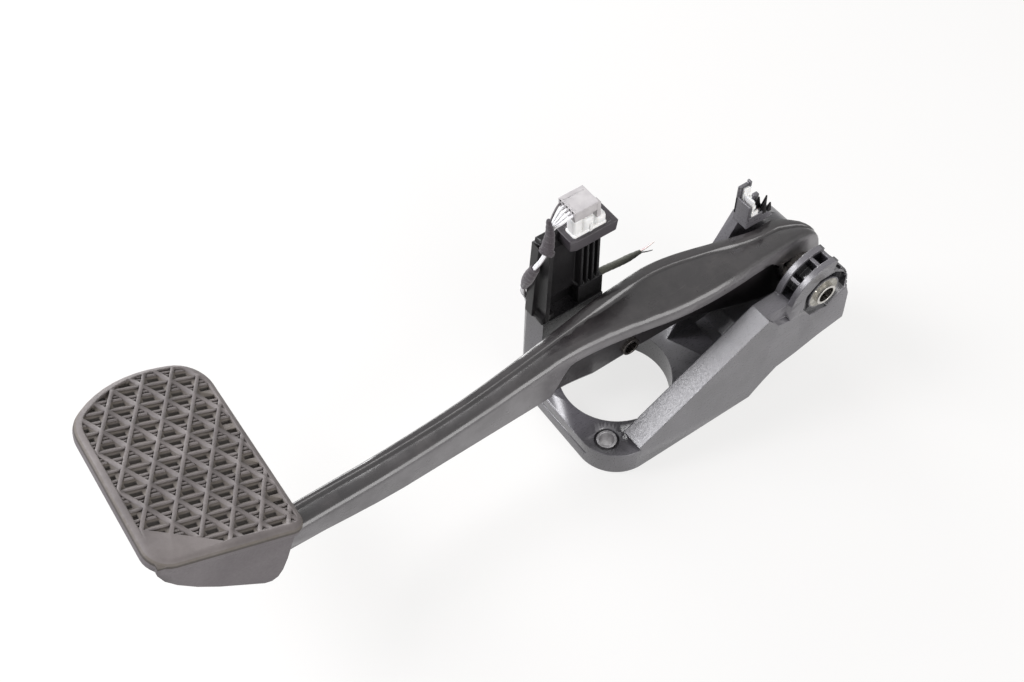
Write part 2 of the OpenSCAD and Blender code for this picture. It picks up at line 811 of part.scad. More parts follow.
function cap_head_ring(angle) =
    [for (p = cap_section(pivot_x + head_r * cos(angle)))
        [pivot_x + (head_r - p[1]) * cos(angle), p[0], pivot_z + (head_r - p[1]) * sin(angle)]];

module lever_cap()
    color([0.1, 0.1, 0.1])
        difference() {
            union() {
                strip_solid(
                    concat([for (x = cap_stations) cap_ring(x)],
                        [for (angle = head_steps) cap_head_ring(angle)]),
                    12
                );
                bar_y(pivot_x, pivot_z, head_near_y, lever_gauge, head_r - head_round - 0.1);
            }
            bar_y(pivot_x, pivot_z, head_near_y - 5, 10, hub_d / 2 + seat);
        }

// The channel nests in the cap along its whole length
foot_start = -221;
foot_rise = 6;
foot_slope = 1.03;
channel_end = pivot_x + 5;
channel_r = head_r - 2;
function plate_under(x) =
    pad_edge[1] - ((x - pad_edge[0]) * sin(pad_angle) + tread_base + plate_thickness + 2 * weld_gap)
    / cos(pad_angle);
function channel_near(x) =
    let (
        inside = lever_near(x) + lever_gauge + weld_gap,
        flared = low_near_y
            + (head_near_y + lever_gauge + weld_gap - low_near_y) * smooth(30, pivot_x - 8, x)
    )
    max(inside, flared);
// Round the head the cap's far flange leans in, and the channel's wall keeps clear of it
function head_x(x) =
    x > pivot_x ? pivot_x + (x - pivot_x) * head_r / (head_r - cap_flange) : x;
function channel_far(x) =
    lever_far(head_x(x)) - lever_gauge - weld_gap - slack * smooth(pivot_x - 12, pivot_x, x);
function channel_bottom(x) =
    x > pivot_x - channel_r
        ? min(lever_bottom, pivot_z - sqrt(channel_r * channel_r - pow(x - pivot_x, 2)))
        : x > -145 ? lever_bottom
        : x > foot_start ? lever_bottom + foot_rise * smooth(-145, foot_start, x)
        : lever_bottom + foot_rise + (foot_start - x) * foot_slope;
channel_drop = head_round + 0.3;
function channel_top(x) =
    x <= foot_start ? plate_under(x)
        : x < cap_end ? lever_top_low - channel_drop
            + (plate_under(foot_start) - lever_top_low + channel_drop)
            * smooth(cap_end, foot_start, x)
        : x < pivot_x ? lever_top(x) - channel_drop
        : pivot_z + sqrt(pow(head_r - channel_drop, 2) - pow(x - pivot_x, 2));
function channel_ring(x) =
    let (
        t = lever_gauge, a = channel_near(x), b = channel_far(x),
        low = channel_bottom(x), high = channel_top(x)
    )
    [
        [x, a, high], [x, a, low + 3], [x, a + 0.9, low + 0.9], [x, a + 3, low],
        [x, b - 3, low], [x, b - 0.9, low + 0.9], [x, b, low + 3], [x, b, high],
        [x, b - t, high], [x, b - t, low + t + 0.6], [x, b - t - 0.2, low + t + 0.2],
        [x, b - t - 0.6, low + t], [x, a + t + 0.6, low + t], [x, a + t + 0.2, low + t + 0.2],
        [x, a + t, low + t + 0.6], [x, a + t, high]
    ];
channel_stations = concat(
    [-255, -246, -237, -229, foot_start, -217, -213, -208, cap_end, -196, -185, -165, -145],
    [-125, -105, -85, -68, -60, -52],
    [for (x = [-48:4:-28]) x],
    [-24, -20],
    [for (x = [-12:8:84]) x],
    [88, 91, 95, 98, 100.5, pivot_x, pivot_x + 2.5, channel_end]
);
pushrod_x = 0;
pushrod_z = lever_bottom + 9;

module lever_channel()
    color([0.1, 0.1, 0.1])
        difference() {
            strip_solid([for (x = channel_stations) channel_ring(x)], 8);
            bar_y(pivot_x, pivot_z, head_near_y, 40, hub_d / 2 + seat);
            bar_y(pushrod_x, pushrod_z, -30, 60, pushrod_sleeve_d / 2 + seat);
            // Room for the spring's coil
            bar_y(pivot_x, pivot_z, spring_near_y - 0.2, spring_y - spring_near_y + 1.6,
                spring_r + spring_wire / 2 + 0.5);
        }

hub_near_y = near_inner_y + 2;
hub_far_y = far_wall_y - 2;
hub_wall = 2;
module pivot_hub()
    color([0.55, 0.55, 0.55])
        difference() {
            bar_y(pivot_x, pivot_z, hub_near_y, hub_far_y - hub_near_y, hub_d / 2);
            bar_y(pivot_x, pivot_z, hub_near_y - 1, hub_far_y - hub_near_y + 2,
                hub_d / 2 - hub_wall);
        }

// Nylon bush that runs on the tube; the flange lies at the local origin, the body along +Z
bush_length = 10;
module running_bush()
    difference() {
        union() {
            cylinder(h = 1.8 + bush_length, r = hub_d / 2 - hub_wall - seat, $fn = 96);
            cylinder(h = 1.8 - seat, r = hub_d / 2 - 0.5, $fn = 96);
        }
        translate([0, 0, -1])
            cylinder(h = bush_length + 4, r = tube_r + running_gap, $fn = 96);
    }
module hub_bush_near()
    color([0.85, 0.83, 0.75])
        translate([pivot_x, hub_near_y - 1.8, pivot_z])
            rotate([-90, 0, 0])
                running_bush();
module hub_bush_far()
    color([0.85, 0.83, 0.75])
        translate([pivot_x, hub_far_y + 1.8, pivot_z])
            rotate([90, 0, 0])
                running_bush();

// Torsion spring round the hub: one leg under the cap, the other down on the web
spring_r = hub_d / 2 + 1.5 + spring_wire / 2;
spring_y = lever_far(pivot_x) - 2 * lever_gauge - 1.6;
spring_pitch = spring_wire + 0.3;
spring_room = spring_y - head_near_y - 2 * lever_gauge - weld_gap - spring_wire / 2;
spring_turns = 0.25 + floor(spring_room / spring_pitch - 0.25);
spring_near_y = spring_y - spring_pitch * spring_turns - spring_wire / 2;
coil_points = [
    for (a = [0:30:360 * spring_turns])
        [pivot_x + spring_r * sin(a), spring_y - spring_pitch * a / 360,
         pivot_z + spring_r * cos(a)]
];
coil_end = coil_points[len(coil_points) - 1];
web_seat_z = lookup(coil_end[0] + spring_wire / 2, web_low) + web_thickness;
cap_leg_x = pivot_x - 29;
cap_leg_z = lever_top(cap_leg_x) - lever_gauge - spring_wire / 2 - slack;
module return_spring()
    color([0.4, 0.4, 0.42])
        tube(
            concat(
                [[cap_leg_x, spring_y, cap_leg_z - 1], [cap_leg_x + 3, spring_y, cap_leg_z - 2.5],
                 [pivot_x - 20, spring_y, pivot_z + spring_r + 1],
                 [pivot_x - 14, spring_y, pivot_z + spring_r]],
                coil_points,
                [[coil_end[0], coil_end[1], pivot_z - 8],
                 [coil_end[0], coil_end[1], web_seat_z + slack]]
            ),
            spring_wire / 2, 8, [0.02, 1, 0.03]
        );

// Sleeve for the push rod's pin, swaged into both walls of the channel
pushrod_near_y = low_near_y - 2;
pushrod_far_y = channel_far(pushrod_x) + 2;
module pushrod_sleeve()
    color([0.5, 0.5, 0.5])
        difference() {
            bar_y(pushrod_x, pushrod_z, pushrod_near_y, pushrod_far_y - pushrod_near_y,
                pushrod_sleeve_d / 2);
            bar_y(pushrod_x, pushrod_z, pushrod_near_y - 1, pushrod_far_y - pushrod_near_y + 2,
                pushrod_bore_d / 2);
        }

// The pad is drawn flat: x runs up its slope and ends at 0 on the upper edge, y runs across
// the car, and z = 0 is the top of the tread
pad_edge = [-198.8, 80.4];
pad_near_y = -20;
pad_far_y = pad_near_y + pad_width;
module on_pad()
    translate([pad_edge[0], 0, pad_edge[1]])
        rotate([0, pad_angle, 0])
            children();
// The lower far corner turns tightly first and then in a long arc up to the far edge
tight_r = 22;
upper_far_r = 18;
lower_near_r = 12;
upper_near_r = 8;
tight_corner_y = 63;
long_r = (pad_far_y - tight_corner_y - tight_r * sin(45)) / (1 - sin(45));
function arc(x, y, r, first, last) =
    [for (k = [0:8])
        let (angle = first + (last - first) * k / 8) [x + r * cos(angle), y + r * sin(angle)]];
function pad_ring(inset) = concat(
    arc(-upper_near_r, pad_near_y + upper_near_r, upper_near_r - inset, -90, 0),
    arc(-upper_far_r, pad_far_y - upper_far_r, upper_far_r - inset, 0, 90),
    arc(-pad_height + tight_r + (long_r - tight_r) * cos(45), pad_far_y - long_r,
        long_r - inset, 90, 134),
    arc(-pad_height + tight_r, tight_corner_y, tight_r - inset, 135, 180),
    arc(-pad_height + lower_near_r, pad_near_y + lower_near_r, lower_near_r - inset, 180, 270)
);
module pad_outline(inset) polygon(pad_ring(inset));

// Body of the pad: rounded along its top edge and tucked in along its lower edge
edge_r = 3.5;
tuck_r = 4;
pad_levels = concat(
    [for (a = [0:30:90]) [edge_r * (1 - sin(a)), -edge_r * (1 - cos(a))]],
    [for (a = [0:30:60]) [tuck_r * (1 - cos(a)), tuck_r * (1 - sin(a)) - pad_thickness]],
    [[tuck_r * 0.8, -pad_thickness]]
);
module pad_body() {
    sides = len(pad_ring(0));
    rings = len(pad_levels);
    polyhedron(
        points = [for (level = pad_levels, p = pad_ring(level[0])) [p[0], p[1], level[1]]],
        faces = concat(
            [[for (k = [sides - 1:-1:0]) k]],
            [for (i = [0:rings - 2], k = [0:sides - 1])
                [i * sides + k, i * sides + (k + 1) % sides,
                 (i + 1) * sides + (k + 1) % sides, (i + 1) * sides + k]],
            [[for (k = [0:sides - 1]) (rings - 1) * sides + k]]
        ),
        convexity = 4
    );
}

// Side flap of the rubber over the folded cheek of the foot plate
flap_depth = 38.5;
flap_middle = [-0.35 * pad_height, -0.25 * flap_depth];
flap_shape = [
    [0.08, 0.05], [0.96, 0.05], [0.95, 0.18], [0.89, 0.33], [0.8, 0.47], [0.66, 0.63],
    [0.5, 0.77], [0.3, 0.91], [0.17, 1], [0.12, 1], [0.085, 0.94], [0.068, 0.82], [0.065, 0.6],
    [0.073, 0.36]
];
module flap_outline(inset)
    polygon([
        for (share = flap_shape)
            let (p = [-share[0] * pad_height, -share[1] * flap_depth])
            p + inset * unit(flap_middle - p)
    ]);
flap_wall = 4.5;
// The rim stands over the flap below it
rim_stand = 1.2;
rim_depth = 5.5;

// Cells between the tread's crossing ridges, each with two slots
cell_start_x = -21.6;
cell_start_y = 1.9;
cell_rows = ceil(pad_height / cell_pitch_v);
cell_columns = ceil(pad_width / cell_pitch_y);
cell_scale = 1 - ridge_width / 2 * norm([cell_pitch_v, cell_pitch_y])
    / (cell_pitch_v * cell_pitch_y / 2);
module tread_field()
    intersection() {
        pad_outline(edge_r + 0.3);
        difference() {
            translate([-pad_height, pad_near_y + edge_r + 1.5])
                square([pad_height, pad_width]);
            // Smooth band at the near lower corner
            polygon([
                [-0.54 * pad_height, pad_near_y],
                [-0.54 * pad_height, pad_near_y + 5],
                [-0.95 * pad_height, pad_near_y + 23],
                [-pad_height - 1, pad_near_y + 24],
                [-pad_height - 1, pad_near_y]
            ]);
        }
    }
module each_cell()
    for (i = [-1:cell_columns], j = [-cell_rows:1], half = [0, 0.5])
        translate([cell_start_x + (j + half) * cell_pitch_v,
                   cell_start_y + (i - 1 + half) * cell_pitch_y])
            children();
module tread_cells()
    intersection() {
        tread_field();
        each_cell()
            scale([cell_scale, cell_scale])
                polygon([
                    [-cell_pitch_v / 2, 0], [0, -cell_pitch_y / 2],
                    [cell_pitch_v / 2, 0], [0, cell_pitch_y / 2]
                ]);
    }
slot_width = 2.7;
slot_length = 6.2;
slot_offset = 3.2;
module tread_slots()
    intersection() {
        tread_field();
        each_cell()
            for (side = [-1, 1])
                translate([-slot_length / 2, side * slot_offset - slot_width / 2])
                    square([slot_length, slot_width]);
    }

plate_inset = 4;
plate_lip = 4;
plate_near_y = pad_near_y + flap_wall + weld_gap;
module plate_outline(inset)
    intersection() {
        pad_outline(inset);
        translate([-pad_height, plate_near_y])
            square([pad_height, pad_width]);
    }
module pad_rubber()
    color([0.25, 0.23, 0.21])
        on_pad()
            difference() {
                union() {
                    pad_body();
                    side_profile(pad_near_y + rim_stand, flap_wall - rim_stand)
                        flap_outline(0);
                }
                translate([-pad_height + lower_near_r, pad_near_y - 1, -2 * pad_height])
                    cube([pad_height, 1 + rim_stand, 2 * pad_height - rim_depth]);
                translate([0, 0, -ridge_height])
                    linear_extrude(ridge_height + 1)
                        tread_cells();
                translate([0, 0, -ridge_height - slot_depth])
                    linear_extrude(slot_depth + 1)
                        tread_slots();
                translate([0, 0, -tread_base - plate_thickness - 2 * weld_gap])
                    linear_extrude(plate_thickness + 2 * weld_gap)
                        plate_outline(plate_inset - weld_gap);
                translate([0, 0, -pad_thickness - 1])
                    linear_extrude(pad_thickness + 1 - tread_base - 1)
                        plate_outline(plate_inset + plate_lip);
                // Way through the lip for the folded cheek
                translate([-0.86 * pad_height, plate_near_y - weld_gap, -pad_thickness - 1])
                    cube([0.86 * pad_height - plate_inset - 1, plate_lip + 2,
                          pad_thickness - tread_base]);
            }

module foot_plate()
    color([0.12, 0.12, 0.12])
        on_pad() {
            translate([0, 0, -tread_base - weld_gap - plate_thickness])
                linear_extrude(plate_thickness)
                    plate_outline(plate_inset);
            side_profile(plate_near_y, plate_thickness)
                difference() {
                    flap_outline(3);
                    translate([-pad_height - 1, -tread_base - weld_gap - 1])
                        square([pad_height + 2, 20]);
                    translate([-pad_height - 1, -pad_height])
                        square([0.14 * pad_height + 1.2, pad_height]);
                    translate([-plate_inset - 1.2, -pad_height])
                        square([20, pad_height]);
                }
        }

pedal_bracket();
mount_sleeves();
near_bush();
far_bush();
pivot_tube();
tube_retainer();
switch_insert();
tower_post();
clip_frame();
white_connector();
grey_connector();
connector_terminals();
tape_upper();
tape_lower();
wire_a();
wire_b();
wire_c();
cut_cable();
bare_wire_a();
bare_wire_b();
bare_wire_c();
lever_cap();
lever_channel();
pivot_hub();
hub_bush_near();
hub_bush_far();
return_spring();
pushrod_sleeve();
foot_plate();
pad_rubber();
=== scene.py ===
# Brake pedal in its moulded bracket: the looks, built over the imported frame.
import bpy
import bmesh
import json
import math
import random
from mathutils import Matrix, Vector
from mathutils.bvhtree import BVHTree


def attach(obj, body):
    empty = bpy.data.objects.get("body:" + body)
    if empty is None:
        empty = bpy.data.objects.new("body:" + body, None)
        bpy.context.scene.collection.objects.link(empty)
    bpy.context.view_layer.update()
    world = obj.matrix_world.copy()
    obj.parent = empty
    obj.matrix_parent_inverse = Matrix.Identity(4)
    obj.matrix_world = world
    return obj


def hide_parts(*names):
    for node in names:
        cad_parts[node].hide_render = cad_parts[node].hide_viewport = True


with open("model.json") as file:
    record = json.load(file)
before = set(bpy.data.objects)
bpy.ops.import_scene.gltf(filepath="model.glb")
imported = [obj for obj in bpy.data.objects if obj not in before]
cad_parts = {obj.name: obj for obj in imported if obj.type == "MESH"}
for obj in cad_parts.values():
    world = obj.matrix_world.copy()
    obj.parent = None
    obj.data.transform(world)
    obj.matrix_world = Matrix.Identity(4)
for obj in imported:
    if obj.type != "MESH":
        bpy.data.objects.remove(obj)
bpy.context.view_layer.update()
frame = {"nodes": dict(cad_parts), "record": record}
cadNodes = frame["nodes"]
scene = bpy.context.scene
scene.view_settings.view_transform = "Standard"
random.seed(7)
print("frame loaded:", len(cadNodes), "nodes")

# camera at the photograph's angle, in degrees and metres, with the lens and sensor in mm
cameraPlace = {
    "lens": 42.19,
    "sensor": 36,
    "target": (-0.0278, 0.06428, 0.0),
    "azimuth": -33.12,
    "elevation": 53.20,
    "roll": -1.96,
    "distance": 0.7251,
    "clip": (0.05, 20),
}


def placeCamera(place):
    az, el, roll = (math.radians(place[k]) for k in ("azimuth", "elevation", "roll"))
    back = Vector((math.sin(az) * math.cos(el), -math.cos(az) * math.cos(el), math.sin(el)))
    right = Vector((math.cos(az), math.sin(az), 0))
    up = back.cross(right)
    rolledRight = math.cos(roll) * right + math.sin(roll) * up
    rolledUp = -math.sin(roll) * right + math.cos(roll) * up
    turn = Matrix((rolledRight, rolledUp, back)).transposed().to_4x4()
    turn.translation = Vector(place["target"]) + back * place["distance"]
    data = bpy.data.cameras.new("photoCamera")
    data.sensor_width = place["sensor"]
    data.sensor_fit = "HORIZONTAL"
    data.lens = place["lens"]
    data.clip_start, data.clip_end = place["clip"]
    camera = bpy.data.objects.new("photoCamera", data)
    camera.matrix_world = turn
    scene.collection.objects.link(camera)
    scene.camera = camera


placeCamera(cameraPlace)


def metres(points):
    return [Vector(p) / 1000 for p in points]


def softLine(points, steps, between=12):
    # a smooth line through the given points, evenly spaced
    pts = [2 * points[0] - points[1], *points, 2 * points[-1] - points[-2]]
    dense = []
    for k in range(1, len(pts) - 2):
        a, b, c, d = pts[k - 1 : k + 3]
        for j in range(between):
            t = j / between
            bend = (2 * a - 5 * b + 4 * c - d) * t * t + (3 * b - a - 3 * c + d) * t**3
            dense.append(0.5 * (2 * b + (c - a) * t + bend))
    dense.append(points[-1])
    run = [0.0]
    for a, b in zip(dense, dense[1:]):
        run.append(run[-1] + (b - a).length)
    line, k = [], 0
    for j in range(steps + 1):
        want = run[-1] * j / steps
        while k < len(run) - 2 and run[k + 1] < want:
            k += 1
        share = (want - run[k]) / max(1e-9, run[k + 1] - run[k])
        line.append(dense[k].lerp(dense[k + 1], min(1, share)))
    return line


def meshObject(bm, name, sharp=None):
    # an object at the origin, which a sharp angle makes smooth but for the edges past it
    mesh = bpy.data.meshes.new(name)
    bm.to_mesh(mesh)
    bm.free()
    if sharp is not None:
        mesh.polygons.foreach_set("use_smooth", [True] * len(mesh.polygons))
        mesh.set_sharp_from_angle(angle=math.radians(sharp))
    piece = bpy.data.objects.new(name, mesh)
    scene.collection.objects.link(piece)
    return piece


def wrappedTube(name, line, around, radiusAt):
    # a grid of faces rolled round the line, closed along its seam and at both ends
    bm = bmesh.new()
    along = len(line) - 1
    bmesh.ops.create_grid(bm, x_segments=around, y_segments=along, size=0.5)
    side = Vector((0, 0, 1))
    stations = []
    for k, p in enumerate(line):
        way = (line[min(k + 1, along)] - line[max(k - 1, 0)]).normalized()
        side = (side - way * side.dot(way)).normalized()
        stations.append((p, side, way.cross(side)))
    for v in bm.verts:
        s = round((v.co.y + 0.5) * along)
        turn = 2 * math.pi * (v.co.x + 0.5)
        p, one, two = stations[s]
        r = radiusAt(s / along, (v.co.x + 0.5) % 1.0)
        v.co = p + r * (math.cos(turn) * one + math.sin(turn) * two)
    bmesh.ops.remove_doubles(bm, verts=bm.verts, dist=1e-6)
    bmesh.ops.holes_fill(bm, edges=[e for e in bm.edges if e.is_boundary], sides=0)
    bmesh.ops.recalc_face_normals(bm, faces=bm.faces)
    piece = meshObject(bm, name, sharp=60)
    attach(piece, "bracket")
    return piece


def strand(name, line, radius, thin=None):
    # a wire with eight sides, thinner along its way where thin says so
    return wrappedTube(name, line, 8, lambda along, around: radius * (thin(along) if thin else 1.0))


# the cable that was cut off, with its bared wires: these are its sizes in mm
cutCable = {
    "radius": 2.1,
    "around": 20,
    "stations": 54,
    "mouth": 0.62,  # share of the radius where it leaves the tower
    "full": 0.16,  # how far along it reaches the whole radius
    "loss": 0.42,  # share that the cut end is thinner
    "lossFrom": 0.72,
    "lossPower": 1.4,
    "plaits": [(0.025, 9, 1), (0.02, 14, -2)],  # share of the radius, waves along and around
    "way": [
        (-3, 23, 83.2), (3, 23.1, 83.2), (9, 23.4, 82.2), (15, 23.8, 80.7),
        (21, 24.2, 79.5), (27, 24.6, 78.6), (33, 25, 77.9),
    ],
    "bareRadius": 0.42,
    "bareLoss": 0.45,
    "bareStations": 10,
    "bared": {
        # piece: node, way
        "bareWireUpper": (
            "bare_wire_a", [(33.2, 24.9, 78.3), (36, 24.4, 79.0), (39, 24.2, 80.1), (42, 24.0, 81.2)],
        ),
        "bareWireMiddle": (
            "bare_wire_b", [(33.2, 25.2, 77.9), (35.5, 25.4, 78.1), (38, 25.0, 78.9), (40.6, 25.3, 79.2)],
        ),
        "bareWireLower": (
            "bare_wire_c", [(33.2, 24.8, 77.4), (35.8, 24.2, 76.6), (38.6, 24.0, 75.6), (41, 23.6, 75.3)],
        ),
    },
}


def sheathRadius(along, around):
    c = cutCable
    swell = c["mouth"] + (1 - c["mouth"]) * min(1, along / c["full"])
    taper = 1 - c["loss"] * max(0, (along - c["lossFrom"]) / (1 - c["lossFrom"])) ** c["lossPower"]
    plait = sum(h * math.sin(2 * math.pi * (along * m + around * n)) for h, m, n in c["plaits"])
    return c["radius"] / 1000 * (swell * taper + plait)


cableLine = softLine(metres(cutCable["way"]), cutCable["stations"])
cableSheath = wrappedTube("cutCableSheath", cableLine, cutCable["around"], sheathRadius)
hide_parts("cut_cable")
bareWires = []
for name, (nodeName, way) in cutCable["bared"].items():
    line = softLine(metres(way), cutCable["bareStations"])
    wire = strand(name, line, cutCable["bareRadius"] / 1000, lambda t: 1 - cutCable["bareLoss"] * t)
    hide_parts(nodeName)
    bareWires.append(wire)
print("camera and cut cable placed")


# shader nodes, in short calls
def placed(tree, coords, scale=(1, 1, 1), turn=(0, 0, 0), shift=(0, 0, 0)):
    node = tree.nodes.new("ShaderNodeMapping")
    node.inputs["Scale"].default_value = scale
    node.inputs["Rotation"].default_value = turn
    node.inputs["Location"].default_value = shift
    tree.links.new(coords, node.inputs["Vector"])
    return node.outputs[0]


def apart(tree, vector):
    node = tree.nodes.new("ShaderNodeSeparateXYZ")
    tree.links.new(vector, node.inputs[0])
    return node.outputs


def grainOf(tree, coords, scale, detail=4.0, rough=0.55):
    node = tree.nodes.new("ShaderNodeTexNoise")
    node.inputs["Scale"].default_value = scale
    node.inputs["Detail"].default_value = detail
    node.inputs["Roughness"].default_value = rough
    tree.links.new(coords, node.inputs["Vector"])
    return node.outputs["Fac"]


def spread(tree, value, low, high, toLow=0.0, toHigh=1.0):
    node = tree.nodes.new("ShaderNodeMapRange")
    node.inputs["From Min"].default_value = low
    node.inputs["From Max"].default_value = high
    node.inputs["To Min"].default_value = toLow
    node.inputs["To Max"].default_value = toHigh
    tree.links.new(value, node.inputs["Value"])
    return node.outputs["Result"]


def patches(tree, coords, scale, low, high, least=0.0, most=1.0, detail=4.0, rough=0.55):
    # noise of one scale, from least to most
    return spread(tree, grainOf(tree, coords, scale, detail, rough), low, high, least, most)


def maths(tree, a, b, how="MULTIPLY"):
    node = tree.nodes.new("ShaderNodeMath")
    node.operation = how
    for socket, value in ((node.inputs[0], a), (node.inputs[1], b)):
        if isinstance(value, (int, float)):
            socket.default_value = value
        else:
            tree.links.new(value, socket)
    return node.outputs[0]


def tinted(tree, share, first, second):
    node = tree.nodes.new("ShaderNodeMix")
    node.data_type = "RGBA"
    for socket, value in ((node.inputs["A"], first), (node.inputs["B"], second)):
        if isinstance(value, tuple):
            socket.default_value = (*value, 1)
        else:
            tree.links.new(value, socket)
    tree.links.new(share, node.inputs["Factor"])
    return node.outputs["Result"]


def facing(tree, axis, low, high):
    # how much the surface looks along an axis, in the part's own frame
    normal = tree.nodes.new("ShaderNodeTexCoord").outputs["Normal"]
    return spread(tree, apart(tree, normal)[axis], low, high)


def softEdges(tree, radius):
    node = tree.nodes.new("ShaderNodeBevel")
    node.samples = 6
    node.inputs["Radius"].default_value = radius
    return node.outputs[0]


def edgeMask(tree, rounded, low=0.01, high=0.12):
    # 1 where the rounded normal leaves the true one, as along an edge
    true = tree.nodes.new("ShaderNodeNewGeometry").outputs["Normal"]
    dot = tree.nodes.new("ShaderNodeVectorMath")
    dot.operation = "DOT_PRODUCT"
    tree.links.new(rounded, dot.inputs[0])
    tree.links.new(true, dot.inputs[1])
    return spread(tree, maths(tree, 1.0, dot.outputs["Value"], "SUBTRACT"), low, high)


def relief(tree, shader, height, strength, distance, under):
    node = tree.nodes.new("ShaderNodeBump")
    node.inputs["Strength"].default_value = strength
    node.inputs["Distance"].default_value = distance
    tree.links.new(height, node.inputs["Height"])
    tree.links.new(under, node.inputs["Normal"])
    tree.links.new(node.outputs[0], shader.inputs["Normal"])


# plain floor and soft studio light, in metres and watts
studio = {
    "floorSize": 9.0,
    "floorDrop": 0.0006,
    "floorPaper": (0.20, 0.197, 0.193),
    "floorColor": (1.0, 0.996, 0.99),
    "nearGlow": 0.745,  # the paper is paler far from the part, where the lamps give less
    "farGlow": 0.985,
    "glowFrom": 0.5,
    "glowTo": 2.2,
    "skyColor": (0.985, 0.985, 0.985),
    "skyAmbient": 0.27,
    "lampAim": (-0.05, 0.03, 0.04),
    "lamps": [
        # name, direction to the lamp, distance, size, power, tint
        ("keyBox", (-0.56, 0.50, 0.66), 1.5, 0.80, 25.0, (0.97, 0.965, 1.0)),
        ("frontBox", (0.12, -0.92, 0.35), 1.8, 1.3, 27.0, (1.0, 0.985, 0.985)),
        ("rimBox", (0.16, 0.95, 0.26), 1.7, 0.8, 20.0, (1.0, 1.0, 1.0)),
    ],
}


def seenDirectly(tree):
    # 1 for camera, glossy and transmission rays, 0 for the rest
    rays = tree.nodes.new("ShaderNodeLightPath").outputs
    shown = maths(tree, rays["Is Camera Ray"], rays["Is Glossy Ray"], "MAXIMUM")
    return maths(tree, shown, rays["Is Transmission Ray"], "MAXIMUM")


def layFloor(s):
    bm = bmesh.new()
    bmesh.ops.create_grid(bm, x_segments=2, y_segments=2, size=s["floorSize"] / 2)
    bmesh.ops.translate(bm, verts=bm.verts, vec=(0, 0, -s["floorDrop"]))
    floor = meshObject(bm, "studioFloor")
    paint = bpy.data.materials.new("studioPaper")
    paint.use_nodes = True
    tree = paint.node_tree
    tree.nodes.clear()
    out = tree.nodes.new("ShaderNodeOutputMaterial")
    matte = tree.nodes.new("ShaderNodeBsdfDiffuse")
    matte.inputs["Color"].default_value = (*s["floorPaper"], 1)
    glow = tree.nodes.new("ShaderNodeEmission")
    glow.inputs["Color"].default_value = (*s["floorColor"], 1)
    away = tree.nodes.new("ShaderNodeVectorMath")
    away.operation = "LENGTH"
    tree.links.new(tree.nodes.new("ShaderNodeTexCoord").outputs["Object"], away.inputs[0])
    level = spread(tree, away.outputs["Value"], s["glowFrom"], s["glowTo"], s["nearGlow"], s["farGlow"])
    tree.links.new(maths(tree, seenDirectly(tree), level), glow.inputs["Strength"])
    both = tree.nodes.new("ShaderNodeAddShader")
    tree.links.new(matte.outputs[0], both.inputs[0])
    tree.links.new(glow.outputs[0], both.inputs[1])
    tree.links.new(both.outputs[0], out.inputs["Surface"])
    floor.data.materials.append(paint)


def lightStudio(s):
    world = bpy.data.worlds.new("studioSky")
    scene.world = world
    world.use_nodes = True
    tree = world.node_tree
    tree.nodes.clear()
    out = tree.nodes.new("ShaderNodeOutputWorld")
    sky = tree.nodes.new("ShaderNodeBackground")
    sky.inputs["Color"].default_value = (*s["skyColor"], 1)
    level = spread(tree, seenDirectly(tree), 0, 1, s["skyAmbient"], 1)
    tree.links.new(level, sky.inputs["Strength"])
    tree.links.new(sky.outputs[0], out.inputs["Surface"])
    for name, direction, distance, size, power, tint in s["lamps"]:
        data = bpy.data.lights.new(name, "AREA")
        data.shape = "SQUARE"
        data.size = size
        data.energy = power
        data.color = tint
        lamp = bpy.data.objects.new(name, data)
        aim = Vector(direction).normalized()
        lamp.location = Vector(s["lampAim"]) + aim * distance
        lamp.rotation_mode = "QUATERNION"
        lamp.rotation_quaternion = (-aim).to_track_quat("-Z", "Y")
        scene.collection.objects.link(lamp)


layFloor(studio)
lightStudio(studio)
print("floor and light set")


# finishes: a colour is dark and pale by its patches, then worn and dusty, with painted light and shade
# where noted
def startFinish(name, roughness, metallic=0.0, specular=0.5):
    finish = bpy.data.materials.new(name)
    finish.use_nodes = True
    tree = finish.node_tree
    tree.nodes.clear()
    out = tree.nodes.new("ShaderNodeOutputMaterial")
    shader = tree.nodes.new("ShaderNodeBsdfPrincipled")
    shader.inputs["Roughness"].default_value = roughness
    shader.inputs["Metallic"].default_value = metallic
    shader.inputs["Specular IOR Level"].default_value = specular
    tree.links.new(shader.outputs[0], out.inputs["Surface"])
    coords = tree.nodes.new("ShaderNodeTexCoord").outputs["Object"]
    return finish, tree, shader, coords


# the upper part of the tower's block, painted darker as shade
towerShade = {
    "left": (-0.0405, -0.0365),
    "leftLeast": 0.15,
    "right": (0.0040, 0.0045),
    "near": (0.0165, 0.0169),
    "base": (0.018, 0.021),
    "height": (0.030, 0.066),
    "heightLeast": 0.45,
    "color": (0.012, 0.011, 0.012),
    "strength": 0.85,
}


def towerMask(tree, coords, t):
    place = apart(tree, coords)
    up = spread(tree, place["Z"], *t["height"], t["heightLeast"], 1)
    above = spread(tree, place["Z"], *t["base"])
    behind = spread(tree, place["Y"], *t["near"])
    leftOf = spread(tree, place["X"], *t["right"], 1, 0)
    rightOf = spread(tree, place["X"], *t["left"], t["leftLeast"], 1)
    return maths(tree, maths(tree, up, above), maths(tree, behind, maths(tree, leftOf, rightOf)))


# the compartments of the near bearing and the hollow round its flange, darkened there as painted shade
bearingHollowShade = {
    "axis": (0.1033, 0.066),
    "radius": 0.0224,
    "near": -0.0487,
    "far": -0.0357,
    "blend": 0.0006,
    "color": (0.008, 0.008, 0.010),
    "strength": 0.86,
    "gloss": 0.14,
}


